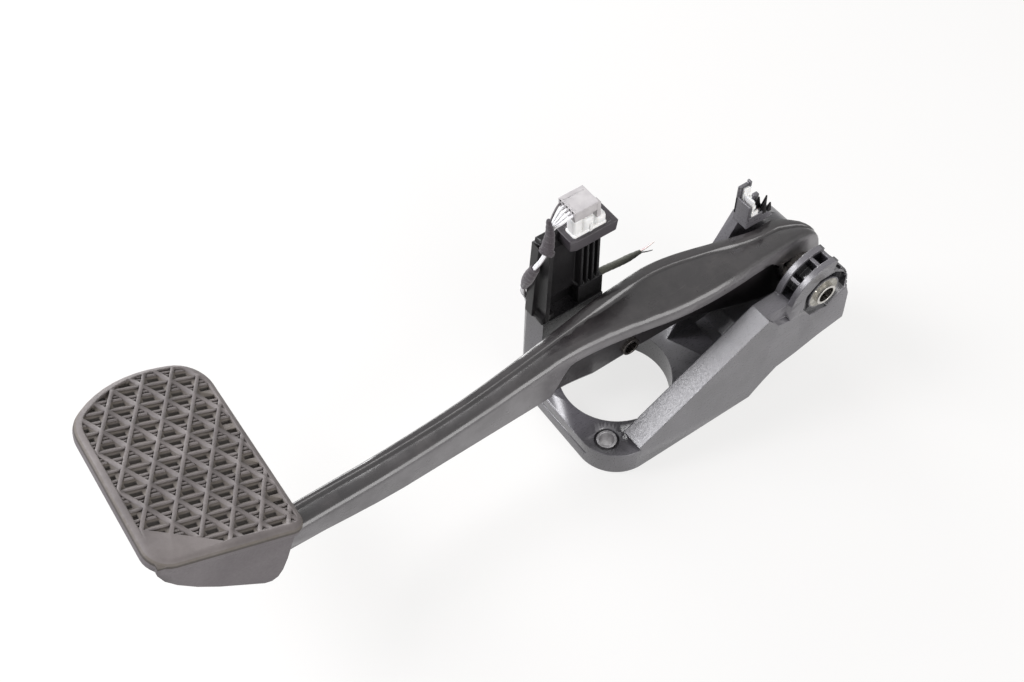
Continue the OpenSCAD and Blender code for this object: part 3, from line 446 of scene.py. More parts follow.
def hollowShadeMask(tree, coords, h):
    place = apart(tree, coords)
    x = maths(tree, place["X"], h["axis"][0], "SUBTRACT")
    z = maths(tree, place["Z"], h["axis"][1], "SUBTRACT")
    far = maths(tree, maths(tree, maths(tree, x, x), maths(tree, z, z), "ADD"), 0.5, "POWER")
    inside = spread(tree, far, h["radius"] - h["blend"], h["radius"], 1, 0)
    behind = spread(tree, place["Y"], h["near"], h["near"] + h["blend"])
    before = spread(tree, place["Y"], h["far"] - h["blend"], h["far"], 1, 0)
    return maths(tree, inside, maths(tree, behind, before))


def mouldedFinish(name, dark, pale, dust, roughness, specular=0.5, shaded=False):
    finish, tree, shader, coords = startFinish(name, roughness, specular=specular)
    flow = grainOf(tree, placed(tree, coords, (1, 2.4, 1)), 38, 5)
    fibre = grainOf(tree, placed(tree, coords, (1.0, 5.0, 2.0), (0.3, 0.2, 0.6)), 420, 3, 0.7)
    body = tinted(tree, spread(tree, flow, 0.35, 0.7), dark, pale)
    rounded = softEdges(tree, 0.0007)
    worn = maths(tree, edgeMask(tree, rounded), patches(tree, coords, 260, 0.42, 0.62, most=0.5))
    body = tinted(tree, worn, body, tuple(min(1, 2.6 * c + 0.02) for c in pale))
    dusty = patches(tree, coords, 90, 0.45, 0.75, most=0.16, detail=6, rough=0.65)
    body = tinted(tree, maths(tree, facing(tree, "Z", 0.35, 0.95), dusty), body, dust)
    gloss = spread(tree, fibre, 0.3, 0.7, roughness - 0.07, roughness + 0.1)
    if shaded:
        # painted shade: the bearing's hollow and the tower's upper block are darkened where shade falls
        h, t = bearingHollowShade, towerShade
        deep = hollowShadeMask(tree, coords, h)
        body = tinted(tree, maths(tree, deep, h["strength"]), body, h["color"])
        body = tinted(tree, maths(tree, towerMask(tree, coords, t), t["strength"]), body, t["color"])
        gloss = maths(tree, gloss, maths(tree, deep, h["gloss"]), "SUBTRACT")
    tree.links.new(body, shader.inputs["Base Color"])
    tree.links.new(gloss, shader.inputs["Roughness"])
    relief(tree, shader, maths(tree, fibre, grainOf(tree, coords, 2600, 2)), 0.35, 0.00012, rounded)
    return finish


def paintFinish(name, dark, pale, dust, roughness, nearLight=0.0):
    finish, tree, shader, coords = startFinish(name, roughness)
    shader.inputs["Coat Weight"].default_value = 0.5
    shader.inputs["Coat Roughness"].default_value = 0.14
    rounded = softEdges(tree, 0.0009)
    cloud = patches(tree, coords, 26, 0.36, 0.68, detail=6, rough=0.6)
    body = tinted(tree, cloud, dark, pale)
    along = placed(tree, coords, (0.35, 6, 3), (0, 0.35, 0.1))
    scuff = patches(tree, along, 190, 0.6, 0.74, detail=5, rough=0.7)
    body = tinted(tree, maths(tree, scuff, 0.35), body, dust)
    # paint worn off the edges, whose pale tone also serves as a painted highlight along them
    chipsAndHighlight = patches(tree, coords, 320, 0.5, 0.66, most=0.55)
    body = tinted(tree, maths(tree, edgeMask(tree, rounded, 0.03, 0.2), chipsAndHighlight), body, (0.30, 0.28, 0.26))
    dusty = patches(tree, coords, 60, 0.46, 0.8, most=0.25, detail=7, rough=0.7)
    settled = maths(tree, facing(tree, "Z", 0.5, 1.0), dusty)
    body = tinted(tree, settled, body, dust)
    # painted light: a paler patchy tone on what looks to the near side, standing in for the light the floor
    # throws back onto it
    nearLightPatches = patches(tree, coords, 45, 0.3, 0.7, 0.5 * nearLight, nearLight, detail=6, rough=0.7)
    body = tinted(tree, maths(tree, facing(tree, "Y", -0.80, -0.98), nearLightPatches), body, (0.20, 0.192, 0.200))
    tree.links.new(body, shader.inputs["Base Color"])
    gloss = patches(tree, coords, 75, 0.3, 0.75, roughness - 0.08, roughness + 0.16, detail=6, rough=0.6)
    gloss = maths(tree, gloss, maths(tree, settled, 0.3), "ADD")
    tree.links.new(gloss, shader.inputs["Roughness"])
    peel = maths(tree, grainOf(tree, coords, 520, 2), maths(tree, grainOf(tree, coords, 70, 2), 1.5), "ADD")
    relief(tree, shader, peel, 0.22, 0.00022, rounded)
    return finish


def steelFinish(name, pale, dark, roughness, along=(1, 1, 1), tarnish=(0.28, 0.24, 0.2)):
    finish, tree, shader, coords = startFinish(name, roughness, metallic=1.0)
    turned = grainOf(tree, placed(tree, coords, along), 900, 3, 0.6)
    patch = grainOf(tree, coords, 210, 6, 0.65)
    body = tinted(tree, spread(tree, patch, 0.35, 0.68), dark, pale)
    body = tinted(tree, maths(tree, spread(tree, patch, 0.62, 0.78), 0.5), body, tarnish)
    tree.links.new(body, shader.inputs["Base Color"])
    gloss = spread(tree, turned, 0.3, 0.7, roughness - 0.08, roughness + 0.12)
    tree.links.new(gloss, shader.inputs["Roughness"])
    relief(tree, shader, turned, 0.25, 0.00005, softEdges(tree, 0.0003))
    return finish


def nylonFinish(name, pale, shade, roughness, glow=0.0):
    finish, tree, shader, coords = startFinish(name, roughness)
    body = tinted(tree, patches(tree, coords, 150, 0.35, 0.7), shade, pale)
    tree.links.new(body, shader.inputs["Base Color"])
    shader.inputs["Subsurface Weight"].default_value = glow
    shader.inputs["Subsurface Radius"].default_value = (0.0012, 0.0011, 0.001)
    gloss = patches(tree, coords, 500, 0.3, 0.7, roughness - 0.06, roughness + 0.08, detail=3)
    tree.links.new(gloss, shader.inputs["Roughness"])
    relief(tree, shader, grainOf(tree, coords, 1900, 2), 0.15, 0.00006, softEdges(tree, 0.0004))
    return finish


# the pad's own frame starts at its edge next to the lever, and its heights are over the tread's top
padSlope = {"angle": math.radians(27), "edge": (-0.1988, 0.0, 0.0804)}
treadHeights = {
    "ridge": -0.0010,
    "floor": -0.0013,
    "slot": -0.0018,
    "deep": -0.0025,
    "under": -0.0030,
    "below": -0.0034,
}


def rubberFinish(name, t):
    finish, tree, shader, coords = startFinish(name, 0.62, specular=0.45)
    moved = placed(tree, coords, shift=tuple(-c for c in padSlope["edge"]))
    height = apart(tree, placed(tree, moved, turn=(0, -padSlope["angle"], 0)))["Z"]
    cloud = grainOf(tree, coords, 34, 6, 0.6)
    fine = grainOf(tree, coords, 700, 4, 0.6)
    plain = tinted(tree, spread(tree, cloud, 0.35, 0.7), (0.120, 0.109, 0.114), (0.160, 0.147, 0.152))
    dusty = tinted(tree, spread(tree, cloud, 0.38, 0.66), (0.120, 0.106, 0.104), (0.185, 0.165, 0.160))
    body = tinted(tree, spread(tree, height, t["under"], t["ridge"]), plain, dusty)
    # the floor between the ridges is brown with road dust; the slots are darkened as painted shade
    inTread = spread(tree, height, t["below"], t["under"])
    onFloor = maths(tree, spread(tree, height, t["floor"], t["ridge"], 1, 0), inTread)
    grime = patches(tree, coords, 210, 0.35, 0.65, 0.55, 1.0, detail=5, rough=0.7)
    body = tinted(tree, maths(tree, onFloor, grime), body, (0.122, 0.105, 0.088))
    slotShade = maths(tree, spread(tree, height, t["deep"], t["slot"], 1, 0), inTread)
    body = tinted(tree, maths(tree, slotShade, 0.85), body, (0.045, 0.039, 0.035))
    rounded = softEdges(tree, 0.0007)
    worn = maths(tree, edgeMask(tree, rounded, 0.02, 0.2), spread(tree, fine, 0.4, 0.65, 0, 0.5))
    body = tinted(tree, worn, body, (0.34, 0.31, 0.29))
    tree.links.new(body, shader.inputs["Base Color"])
    tree.links.new(spread(tree, fine, 0.3, 0.7, 0.52, 0.72), shader.inputs["Roughness"])
    relief(tree, shader, maths(tree, fine, grainOf(tree, coords, 160, 4), "ADD"), 0.4, 0.00018, rounded)
    return finish


def tapeFinish(name, dark, pale):
    # cloth with a fine weave
    finish, tree, shader, coords = startFinish(name, 0.8, specular=0.3)
    fine = grainOf(tree, coords, 1500, 3, 0.7)
    weave = tree.nodes.new("ShaderNodeTexWave")
    weave.inputs["Scale"].default_value = 900
    weave.inputs["Distortion"].default_value = 1.5
    tree.links.new(placed(tree, coords, turn=(0.5, 0.4, 0.8)), weave.inputs["Vector"])
    body = tinted(tree, spread(tree, maths(tree, fine, weave.outputs["Fac"]), 0.1, 0.6), dark, pale)
    tree.links.new(body, shader.inputs["Base Color"])
    shader.inputs["Sheen Weight"].default_value = 0.35
    threads = maths(tree, fine, weave.outputs["Fac"], "ADD")
    relief(tree, shader, threads, 0.5, 0.0002, softEdges(tree, 0.0003))
    return finish


finishes = {
    "moulded_plastic": mouldedFinish(
        "mouldedBlack", (0.074, 0.071, 0.078), (0.112, 0.107, 0.119), (0.26, 0.25, 0.28),
        roughness=0.30, specular=0.95, shaded=True,
    ),
    # painted shade: a near-black copy of the moulded plastic, for the post whose hollow lies in shade; the
    # cup's jaw takes it too
    "post_plastic": mouldedFinish(
        "postShadeBlack", (0.008, 0.0075, 0.008), (0.016, 0.015, 0.016), (0.05, 0.047, 0.05),
        roughness=0.34, specular=0.25,
    ),
    "frame_plastic": mouldedFinish(
        "frameBlack", (0.026, 0.022, 0.026), (0.052, 0.046, 0.052), (0.13, 0.118, 0.128),
        roughness=0.42,
    ),
    # the lever's paint gets painted light on its near side
    "lever_paint": paintFinish(
        "leverBlack", (0.013, 0.011, 0.012), (0.028, 0.0245, 0.0255), (0.11, 0.098, 0.096),
        roughness=0.29, nearLight=0.75,
    ),
    # painted shade: a darker copy of the lever's paint, for the channel that lies in shade under the cap
    "lever_paint_shaded": paintFinish(
        "leverChannelShadeBlack", (0.007, 0.006, 0.007), (0.014, 0.012, 0.013), (0.05, 0.045, 0.045),
        roughness=0.42,
    ),
    "plate_paint": paintFinish(
        "plateBlack", (0.034, 0.031, 0.031), (0.052, 0.048, 0.048), (0.13, 0.11, 0.10),
        roughness=0.40,
    ),
    "pad_rubber": rubberFinish("padRubber", treadHeights),
    "sleeve_steel": steelFinish("sleeveZinc", (0.66, 0.65, 0.66), (0.42, 0.41, 0.42), 0.42),
    "flange_steel": steelFinish("flangeZinc", (0.50, 0.485, 0.44), (0.20, 0.19, 0.165), 0.26, (1, 0.2, 1)),
    "tube_steel": steelFinish("tubeZinc", (0.70, 0.68, 0.64), (0.40, 0.385, 0.36), 0.20, (1, 0.1, 1)),
    "pin_steel": steelFinish("sleeveOiled", (0.24, 0.22, 0.20), (0.10, 0.09, 0.09), 0.28, (1, 0.1, 1)),
    "spring_steel": steelFinish("springWire", (0.34, 0.33, 0.32), (0.16, 0.16, 0.16), 0.34),
    "terminal_metal": steelFinish("terminalTin", (0.30, 0.29, 0.28), (0.08, 0.08, 0.08), 0.40),
    "bare_copper": steelFinish("tinnedStrands", (0.74, 0.64, 0.62), (0.50, 0.40, 0.38), 0.35),
    "bush_nylon": nylonFinish("bushNylon", (0.78, 0.74, 0.62), (0.66, 0.61, 0.50), 0.42),
    "white_nylon": nylonFinish("whiteNylon", (0.93, 0.93, 0.92), (0.84, 0.84, 0.83), 0.38, glow=0.15),
    "grey_nylon": nylonFinish("greyNylon", (0.58, 0.56, 0.56), (0.46, 0.44, 0.445), 0.45),
    "white_wire": nylonFinish("whiteWire", (0.90, 0.90, 0.91), (0.78, 0.77, 0.79), 0.4),
    "dark_wire": nylonFinish("darkWire", (0.13, 0.115, 0.12), (0.07, 0.06, 0.065), 0.4),
    "pink_wire": nylonFinish("pinkWire", (0.60, 0.42, 0.47), (0.46, 0.31, 0.36), 0.4),
    "harness_tape": tapeFinish("harnessCloth", (0.032, 0.026, 0.030), (0.115, 0.098, 0.112)),
    "cable_sheath": tapeFinish("cableSheath", (0.050, 0.052, 0.040), (0.15, 0.15, 0.122)),
}
slotOf = {row["node"]: row["material_slot"] for row in frame["record"]["subparts"]}
# nodes with another finish than their slot's; the channel's is a darker copy of the lever paint, as painted
# shade
ownFinish = {"pivot_hub": "pin_steel", "lever_channel": "lever_paint_shaded"}
for nodeName, node in cadNodes.items():
    node.data.materials.clear()
    node.data.materials.append(finishes[ownFinish.get(nodeName, slotOf[nodeName])])
print("finishes made:", len(finishes))


def cover(piece, slotName, nodeName=None, finishName=None):
    # a piece's finish, named by its slot, and the node that it stands for, which is hidden
    piece.data.materials.append(finishes[finishName or slotName])
    if nodeName:
        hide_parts(nodeName)


def shadeEvenly(piece):
    even = piece.modifiers.new("evenShading", "WEIGHTED_NORMAL")
    even.keep_sharp = True


cover(cableSheath, "cable_sheath")
for wire, slotName in zip(bareWires, ("bare_copper", "pink_wire", "dark_wire")):
    cover(wire, slotName)


# the CAD's own surfaces, shaped a little further, in mm
def smoothStep(low, high, x):
    t = max(0.0, min(1.0, (x - low) / (high - low)))
    return t * t * (3 - 2 * t)


pivot = (103.3, 66.0)
leverForm = {
    "padTop": 65,
    "topRise": 25,
    "topRun": (-165, 76),
    "padNear": -9.5,
    "nearShift": 22.5,
    "nearRun": (-50, 70),
    "drawnIn": 6.0,  # towards the head the near side stands further from the bearing
    "drawnRun": (12, 78),
    "drawnWidth": 30,
}
# the near flange's depth, and along which runs it changes in the solid and here
flangeForm = {
    "thick": 3.2,
    "roll": 6,
    "edge": 9,
    "foot": 46.4,
    "leftSolid": (-46, 18),
    "leftHere": (-56, -38),
    "rightSolid": (55, 88),
    "rightHere": (86, 101),
    "rightMore": 12,
}
capForm = {
    "padEnd": 198,
    "padEndRun": 5,
    "padEndMore": 12,
    "bandEdge": (16, 24),  # the raised far band, from the near side
    "bandRise": 2.2,
    "bandStart": (-60, -10),
    "bandEnd": (60, 90),
    "bandOut": 2.5,
    "bandOutRun": (-16, 2),  # this run and those of the nose are taken from the pivot
    "noseLift": 0.8,
    "noseLiftRun": (2, 14),
    "noseFrom": 6,
    "noseShare": 0.66,
    "bandNoseLess": 0.22,
}


def leverTop(x):
    return leverForm["padTop"] + leverForm["topRise"] * smoothStep(*leverForm["topRun"], x)


def leverNear(x):
    return leverForm["padNear"] - leverForm["nearShift"] * smoothStep(*leverForm["nearRun"], x)


def drawnIn(x, y):
    share = max(0.0, min(1.0, 1 - (y - leverNear(x)) / leverForm["drawnWidth"]))
    return y + leverForm["drawnIn"] * smoothStep(*leverForm["drawnRun"], x) * share


def shapeChannel(x, y, z):
    return x, drawnIn(x, y), z


def flangeDepths(x):
    # the near flange's depth in the solid, and the depth that it gets here
    f = flangeForm
    if f["leftHere"][0] < x < f["leftSolid"][1]:
        more = leverTop(x) - f["foot"] - f["edge"]
        return [f["edge"] + more * (1 - smoothStep(*f[run], x)) for run in ("leftSolid", "leftHere")]
    if f["rightSolid"][0] < x < f["rightHere"][1]:
        return [f["edge"] + f["rightMore"] * smoothStep(*f[run], x) for run in ("rightSolid", "rightHere")]
    return None


def shapeCap(x, y, z):
    c, roll = capForm, flangeForm["roll"]
    # the lever's end runs on under the pad
    if x < -c["padEnd"]:
        x -= c["padEndMore"] * smoothStep(c["padEnd"], c["padEnd"] + c["padEndRun"], -x)
    # the near flange narrows to an edge left of the push rod's hole, and the channel shows below it
    depths = flangeDepths(x) if y < leverNear(x) + flangeForm["thick"] else None
    if depths:
        solid, here = depths
        deep = leverTop(x) - z
        if deep > roll and solid > roll + 0.5:
            z = leverTop(x) - roll - (deep - roll) * (here - roll) / (solid - roll)
    # the raised far band has its own round end beside the blunt nose
    onFar = smoothStep(*(leverNear(x) + edge for edge in c["bandEdge"]), y)
    z += c["bandRise"] * onFar * smoothStep(*c["bandStart"], x) * (1 - smoothStep(*c["bandEnd"], x))
    y += c["bandOut"] * onFar * smoothStep(*c["bandOutRun"], x - pivot[0])
    lift = smoothStep(*c["noseLiftRun"], x - pivot[0]) * smoothStep(*c["noseLiftRun"], z - pivot[1])
    z += c["noseLift"] * (1 - onFar) * lift
    nose = pivot[0] + c["noseFrom"]
    if x > nose:
        x = nose + (x - nose) * (c["noseShare"] - c["bandNoseLess"] * onFar)
    return x, drawnIn(x, y), z


bracketForm = {
    "holder": {"left": 80, "right": 109, "near": -6, "far": 7, "cup": 97.0},
    "jaw": {"left": 94, "low": 91.5, "share": 0.45},
    "recess": {"radius": 14.8, "slack": 0.7, "near": -49.2, "far": -44.4, "more": 3.0, "least": 0.35},
    "strut": {"near": 1, "left": 60, "right": 83.5, "rise": (66, 77), "fall": (84, 92), "move": 3.5},
    "lug": {"far": -34, "left": 118, "rise": (0, 40), "fall": (45, 60), "move": 1.5, "most": 128.0},
    "tower": {"near": 17, "right": -30, "low": 15, "high": 73, "lean": (16, 72), "move": 3.5},
}


def shapeBracket(x, y, z):
    # the holder's upper part makes way for the open cup, and its right jaw is small
    h, j = bracketForm["holder"], bracketForm["jaw"]
    if h["left"] < x < h["right"] and h["near"] < y < h["far"]:
        z = min(z, h["cup"])
        if x > j["left"] and z > j["low"]:
            x = j["left"] + (x - j["left"]) * j["share"]
    # the recess round the flange runs out towards the lug, which lies to the right and down
    r = bracketForm["recess"]
    out = Vector((x - pivot[0], 0, z - pivot[1]))
    if r["near"] < y < r["far"] and abs(out.length - r["radius"]) < r["slack"]:
        more = max(0.0, (out.x - out.z) / out.length / 1.414 + r["least"]) * r["more"]
        x += out.x / out.length * more
        z += out.z / out.length * more
    # the far strut's left edge
    s = bracketForm["strut"]
    if y > s["near"] and s["left"] < x < s["right"] and s["rise"][0] < z < s["fall"][1]:
        x += s["move"] * smoothStep(*s["rise"], z) * (1 - smoothStep(*s["fall"], z))
    # the lug's outer edge, below the bearing
    g = bracketForm["lug"]
    if y < g["far"] and x > g["left"] and z < g["fall"][1]:
        x = min(g["most"], x + g["move"] * smoothStep(*g["rise"], z) * (1 - smoothStep(*g["fall"], z)))
    # the tower's block leans in towards its top on the left
    t = bracketForm["tower"]
    if y > t["near"] and x < t["right"] and t["low"] < z < t["high"]:
        x += t["move"] * smoothStep(*t["lean"], z)
    return x, y, z


def smoothCopy(pieceName, nodeName, body, sharp, shape):
    # the CAD node's own surface, merged, with its facets shaded as the curves they stand for
    bm = bmesh.new()
    bm.from_mesh(cadNodes[nodeName].data)
    bmesh.ops.remove_doubles(bm, verts=bm.verts, dist=2e-6)
    if shape:
        for v in bm.verts:
            v.co = Vector(shape(*(v.co * 1000))) / 1000
        bmesh.ops.remove_doubles(bm, verts=bm.verts, dist=2e-6)
        bmesh.ops.dissolve_degenerate(bm, dist=1e-6, edges=bm.edges)
    bmesh.ops.dissolve_limit(bm, angle_limit=math.radians(0.2), verts=bm.verts, edges=bm.edges)
    bmesh.ops.triangulate(bm, faces=[f for f in bm.faces if len(f.verts) > 4])
    piece = meshObject(bm, pieceName, sharp)
    shadeEvenly(piece)
    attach(piece, body)
    cover(piece, slotOf[nodeName], nodeName, ownFinish.get(nodeName))


smoothed = {
    # piece: node, body, sharp angle, shape
    "bracketMoulding": ("pedal_bracket", "bracket", 30, shapeBracket),
    "leverCapPressing": ("lever_cap", "pedal", 40, shapeCap),
    "leverChannelPressing": ("lever_channel", "pedal", 40, shapeChannel),
    "padMoulding": ("pad_rubber", "pedal", 35, None),
    "footPlatePressing": ("foot_plate", "pedal", 30, None),
    "springWire": ("return_spring", "pedal", 60, None),
    "nearBushRing": ("near_bush", "bracket", 30, None),
    "farBushRing": ("far_bush", "bracket", 30, None),
    "pivotTubeTurned": ("pivot_tube", "bracket", 30, None),
    "pushrodSleeveTurned": ("pushrod_sleeve", "pedal", 30, None),
    "studSleeves": ("mount_sleeves", "bracket", 30, None),
    "towerPostMoulding": ("tower_post", "bracket", 30, None),
}
for pieceName, row in smoothed.items():
    smoothCopy(pieceName, *row)
print("smooth pieces made:", len(smoothed))


# blocks cut and carved for the small mouldings, sizes in mm
def block(low, high):
    bm = bmesh.new()
    bmesh.ops.create_cube(bm, size=1)
    for v in bm.verts:
        v.co = Vector([low[k] + (v.co[k] + 0.5) * (high[k] - low[k]) for k in range(3)])
    return bm


def cutAcross(bm, axis, places):
    way = Vector((0, 0, 0))
    way[axis] = 1
    for place in places:
        whole = bm.verts[:] + bm.edges[:] + bm.faces[:]
        bmesh.ops.bisect_plane(bm, geom=whole, plane_co=way * place, plane_no=way, dist=1e-5)


def push(bm, way, chosen, by):
    # the chosen faces that look along way move by that much, with new walls round them
    way = Vector(way)
    bm.normal_update()
    faces = [f for f in bm.faces if f.normal.dot(way) > 0.9 and chosen(f.calc_center_median())]
    made = bmesh.ops.extrude_face_region(bm, geom=faces)
    verts = [g for g in made["geom"] if isinstance(g, bmesh.types.BMVert)]
    bmesh.ops.translate(bm, verts=verts, vec=way * by)


def join(bm, *others):
    for other in others:
        spare = bpy.data.meshes.new("spare")
        other.to_mesh(spare)
        other.free()
        bm.from_mesh(spare)
        bpy.data.meshes.remove(spare)
    return bm


def soften(bm, offset, segments=2, least=40):
    bm.normal_update()
    least = math.radians(least)
    edges = [e for e in bm.edges if len(e.link_faces) == 2 and e.calc_face_angle(0) > least]
    bmesh.ops.bevel(
        bm, geom=edges, offset=offset, offset_type="OFFSET", affect="EDGES",
        segments=segments, profile=0.5, material=-1, clamp_overlap=True,
    )
    return bm


def moulding(bm, name, slotName, nodeName=None, sharp=35, body="bracket"):
    bmesh.ops.scale(bm, verts=bm.verts, vec=(0.001, 0.001, 0.001))
    piece = meshObject(bm, name, sharp)
    shadeEvenly(piece)
    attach(piece, body)
    cover(piece, slotName, nodeName)


# the open frame that the connector is clipped in
clipFrame = {
    "low": (-21.5, 16, 121),
    "high": (8, 30.4, 128),
    "wall": 3.2,
    "nearShare": 0.6,
    "farShare": 0.7,
    "deep": 6.0,
    "cheekIn": 1.5,
    "cheekDown": 2.2,
    "lean": 1.2,
    "round": 0.45,
}


def makeClipFrame(c):
    low, high, wall = c["low"], c["high"], c["wall"]
    rim = block(low, high)
    wellX = (low[0] + wall, high[0] - wall)
    wellY = (low[1] + wall * c["nearShare"], high[1] - wall * c["farShare"])
    cutAcross(rim, 0, wellX)
    cutAcross(rim, 1, wellY)
    inWell = lambda p: wellX[0] < p.x < wellX[1] and wellY[0] < p.y < wellY[1]
    push(rim, (0, 0, 1), inWell, -c["deep"])
    for v in rim.verts:
        # the near left corner is cut back, and the right end leans outwards
        if v.co.x < low[0] + 0.5 and v.co.y < low[1] + 1:
            v.co.y += c["cheekIn"]
            v.co.z -= c["cheekDown"] if v.co.z > high[2] - 1 else 0
        if v.co.x > high[0] - 0.5 and v.co.z < low[2] + 0.5:
            v.co.x -= c["lean"]
    moulding(soften(rim, c["round"]), "clipFrameRim", "frame_plastic", "clip_frame")


makeClipFrame(clipFrame)

# the white connector's lobes: low corner, high corner, rounding
lobes = {
    "body": ((-18.6, 18.2, 121.6), (2.2, 26.2, 129.5), 1.0),
    "left": ((-18.2, 19.0, 128), (-12.4, 26.0, 139.5), 1.6),
    "middle": ((-12.0, 18.6, 128), (-5.2, 26.1, 137.2), 1.9),
    "right": ((-4.4, 18.4, 128), (2.4, 26.0, 134.6), 2.2),
    "stem": ((-17.5, 21.0, 130), (-5.5, 25.4, 144.0), 0.8),
    "rib": ((-8.8, 17.9, 122), (-7.2, 18.9, 133.0), 0.3),
}
whiteBody = join(*[soften(block(low, high), rounding, 3) for low, high, rounding in lobes.values()])
moulding(whiteBody, "whiteConnectorBody", "white_nylon", "white_connector", 50)

# the grey connector: plate, slit, wire holes, lock tab
greyPlug = {
    "low": (-20.5, 15.5, 144.6),
    "high": (-5.6, 29.5, 150),
    "holes": 5,
    "firstHole": 16.6,
    "pitch": 2.55,
    "hole": 1.5,
    "holeHeights": (146.2, 148.6),
    "holeDeep": 2.6,
    "round": 0.22,
    "notchEnd": -19.0,
    "notchDeep": 1.4,
    "lip": -17.6,
    "slitEnd": -7.0,
    "slit": 26.3,
    "slitDeep": 2.2,
    "tab": ((-7.2, 15.2, 139.5), (-4.5, 19.6, 149.4)),
    "tabRound": 0.5,
    "skirt": ((-19.4, 17.0, 141.5), (-8.0, 28.6, 145.0)),
    "skirtRound": 0.4,
}


def makeGreyPlug(g):
    low, high = g["low"], g["high"]
    plug = block(low, high)
    starts = [g["firstHole"] + g["pitch"] * k for k in range(g["holes"])]
    cutAcross(plug, 1, [y for start in starts for y in (start, start + g["hole"])] + [g["slit"]])
    cutAcross(plug, 2, g["holeHeights"])
    cutAcross(plug, 0, (g["notchEnd"], g["lip"], g["slitEnd"]))
    inHole = lambda p: any(start < p.y < start + g["hole"] for start in starts)
    atHoles = lambda p: g["holeHeights"][0] < p.z < g["holeHeights"][1] and inHole(p)
    inSlit = lambda p: g["notchEnd"] < p.x < g["slitEnd"] and g["slit"] < p.y < starts[-1]
    inNotch = lambda p: p.x < g["notchEnd"] and inHole(p)
    push(plug, (-1, 0, 0), lambda p: p.x < low[0] + 0.5 and atHoles(p), -g["holeDeep"])
    push(plug, (0, 0, 1), lambda p: p.z > high[2] - 0.1 and inSlit(p), -g["slitDeep"])
    push(plug, (0, 0, 1), lambda p: p.z > high[2] - 0.1 and inNotch(p), -g["notchDeep"])
    tab = soften(block(*g["tab"]), g["tabRound"])
    skirt = soften(block(*g["skirt"]), g["skirtRound"])
    soften(plug, g["round"], least=60)
    for v in plug.verts:
        v.co.z = min(v.co.z, high[2])
    moulding(join(plug, tab, skirt), "greyConnectorPlug", "grey_nylon", "grey_connector")


makeGreyPlug(greyPlug)

# wires from the connector into the tape, down the tower's left side
harness = {
    "radius": 0.72,
    "stations": 64,
    "darkShare": 0.85,
    "bundle": 0.95,
    "below": 0.9,  # share of the bundle's spread below its throat
    "wires": {
        # piece: the hole's y, finish, node
        "wireWhiteFirst": (17.4, "white_wire", "wire_a"),
        "wireWhiteSecond": (19.9, "white_wire", None),
        "wireWhiteThird": (22.5, "white_wire", "wire_b"),
        "wireWhiteFourth": (25.0, "white_wire", None),
        "wireDarkLast": (27.6, "dark_wire", "wire_c"),
    },
    "fan": [
        # x, share of the hole's y, rest of y, height, drop from wire to wire
        (-18.6, 1, 0, 147.4, 0),
        (-21.5, 1, 0, 147.2, 0),
        (-26.4, 0.8, 4.0, 145.2, 0.5),
        (-29.6, 0.4, 12.6, 142.4, 0.4),
    ],
    "throat": (-31.6, 20.8, 139.0),
    "down": [
        (-33.0, 20.4, 132), (-34.6, 19.8, 127), (-37.6, 20.0, 122.5), (-41.0, 21.6, 117),
        (-42.6, 24.2, 109), (-42.2, 27.6, 101), (-41.4, 31, 93), (-39.2, 34, 85),
        (-36.2, 35, 77), (-35, 35, 66),
    ],
}


def makeHarness(h):
    for k, (name, (y, slotName, nodeName)) in enumerate(h["wires"].items()):
        turn = 2 * math.pi * k / len(h["wires"])
        off = h["bundle"] * Vector((math.cos(turn), math.sin(turn), 0))
        way = [Vector((x, y * share + rest, high - drop * k)) for x, share, rest, high, drop in h["fan"]]
        way.append(Vector(h["throat"]) + off)
        way += [Vector(p) + off * h["below"] for p in h["down"]]
        radius = h["radius"] / 1000 * (h["darkShare"] if slotName == "dark_wire" else 1)
        cover(strand(name, softLine(metres(way), h["stations"]), radius), slotName, nodeName)


makeHarness(harness)


def wound(base, pitch, step):
    # tape laid on in turns, each lying over the last one's edge
    return lambda along, around: (base(along) + step * ((along / pitch + around) % 1.0)) / 1000


tapes = {
    "tapeWrapUpper": {
        "node": "tape_upper",
        "way": [
            (-32.4, 21.2, 148.5), (-31.9, 20.9, 143), (-31.9, 20.6, 138), (-33.0, 20.4, 132),
            (-34.4, 19.9, 127.5),
        ],
        "radius": lambda t: 0.8 + 2.8 * t**0.8,
        "pitch": 0.17,
    },
    "tapeStrap": {
        "node": None,
        "way": [(-33.2, 20.2, 128.9), (-34.2, 19.9, 127.9), (-35.2, 19.7, 126.8)],
        "radius": lambda t: 4.1 - 0.8 * abs(t - 0.5),
        "pitch": 0.6,
    },
    "tapeWrapLower": {
        "node": "tape_lower",
        "way": [
            (-40.4, 21.2, 118), (-42.0, 23.0, 112.5), (-42.6, 25.0, 107), (-42.3, 27.4, 101.5),
            (-42.0, 29.0, 97.5),
        ],
        "radius": lambda t: 2.3 + 0.9 * math.sin(math.pi * min(1, t * 1.1)) - 0.5 * t,
        "pitch": 0.14,
    },
}
tapeCloth = {"step": 0.3, "stations": 48, "around": 24}
for name, tape in tapes.items():
    line = softLine(metres(tape["way"]), tapeCloth["stations"])
    radiusAt = wound(tape["radius"], tape["pitch"], tapeCloth["step"])
    cover(wrappedTube(name, line, tapeCloth["around"], radiusAt), "harness_tape", tape["node"])
print("tower's connector, wires and tape made")

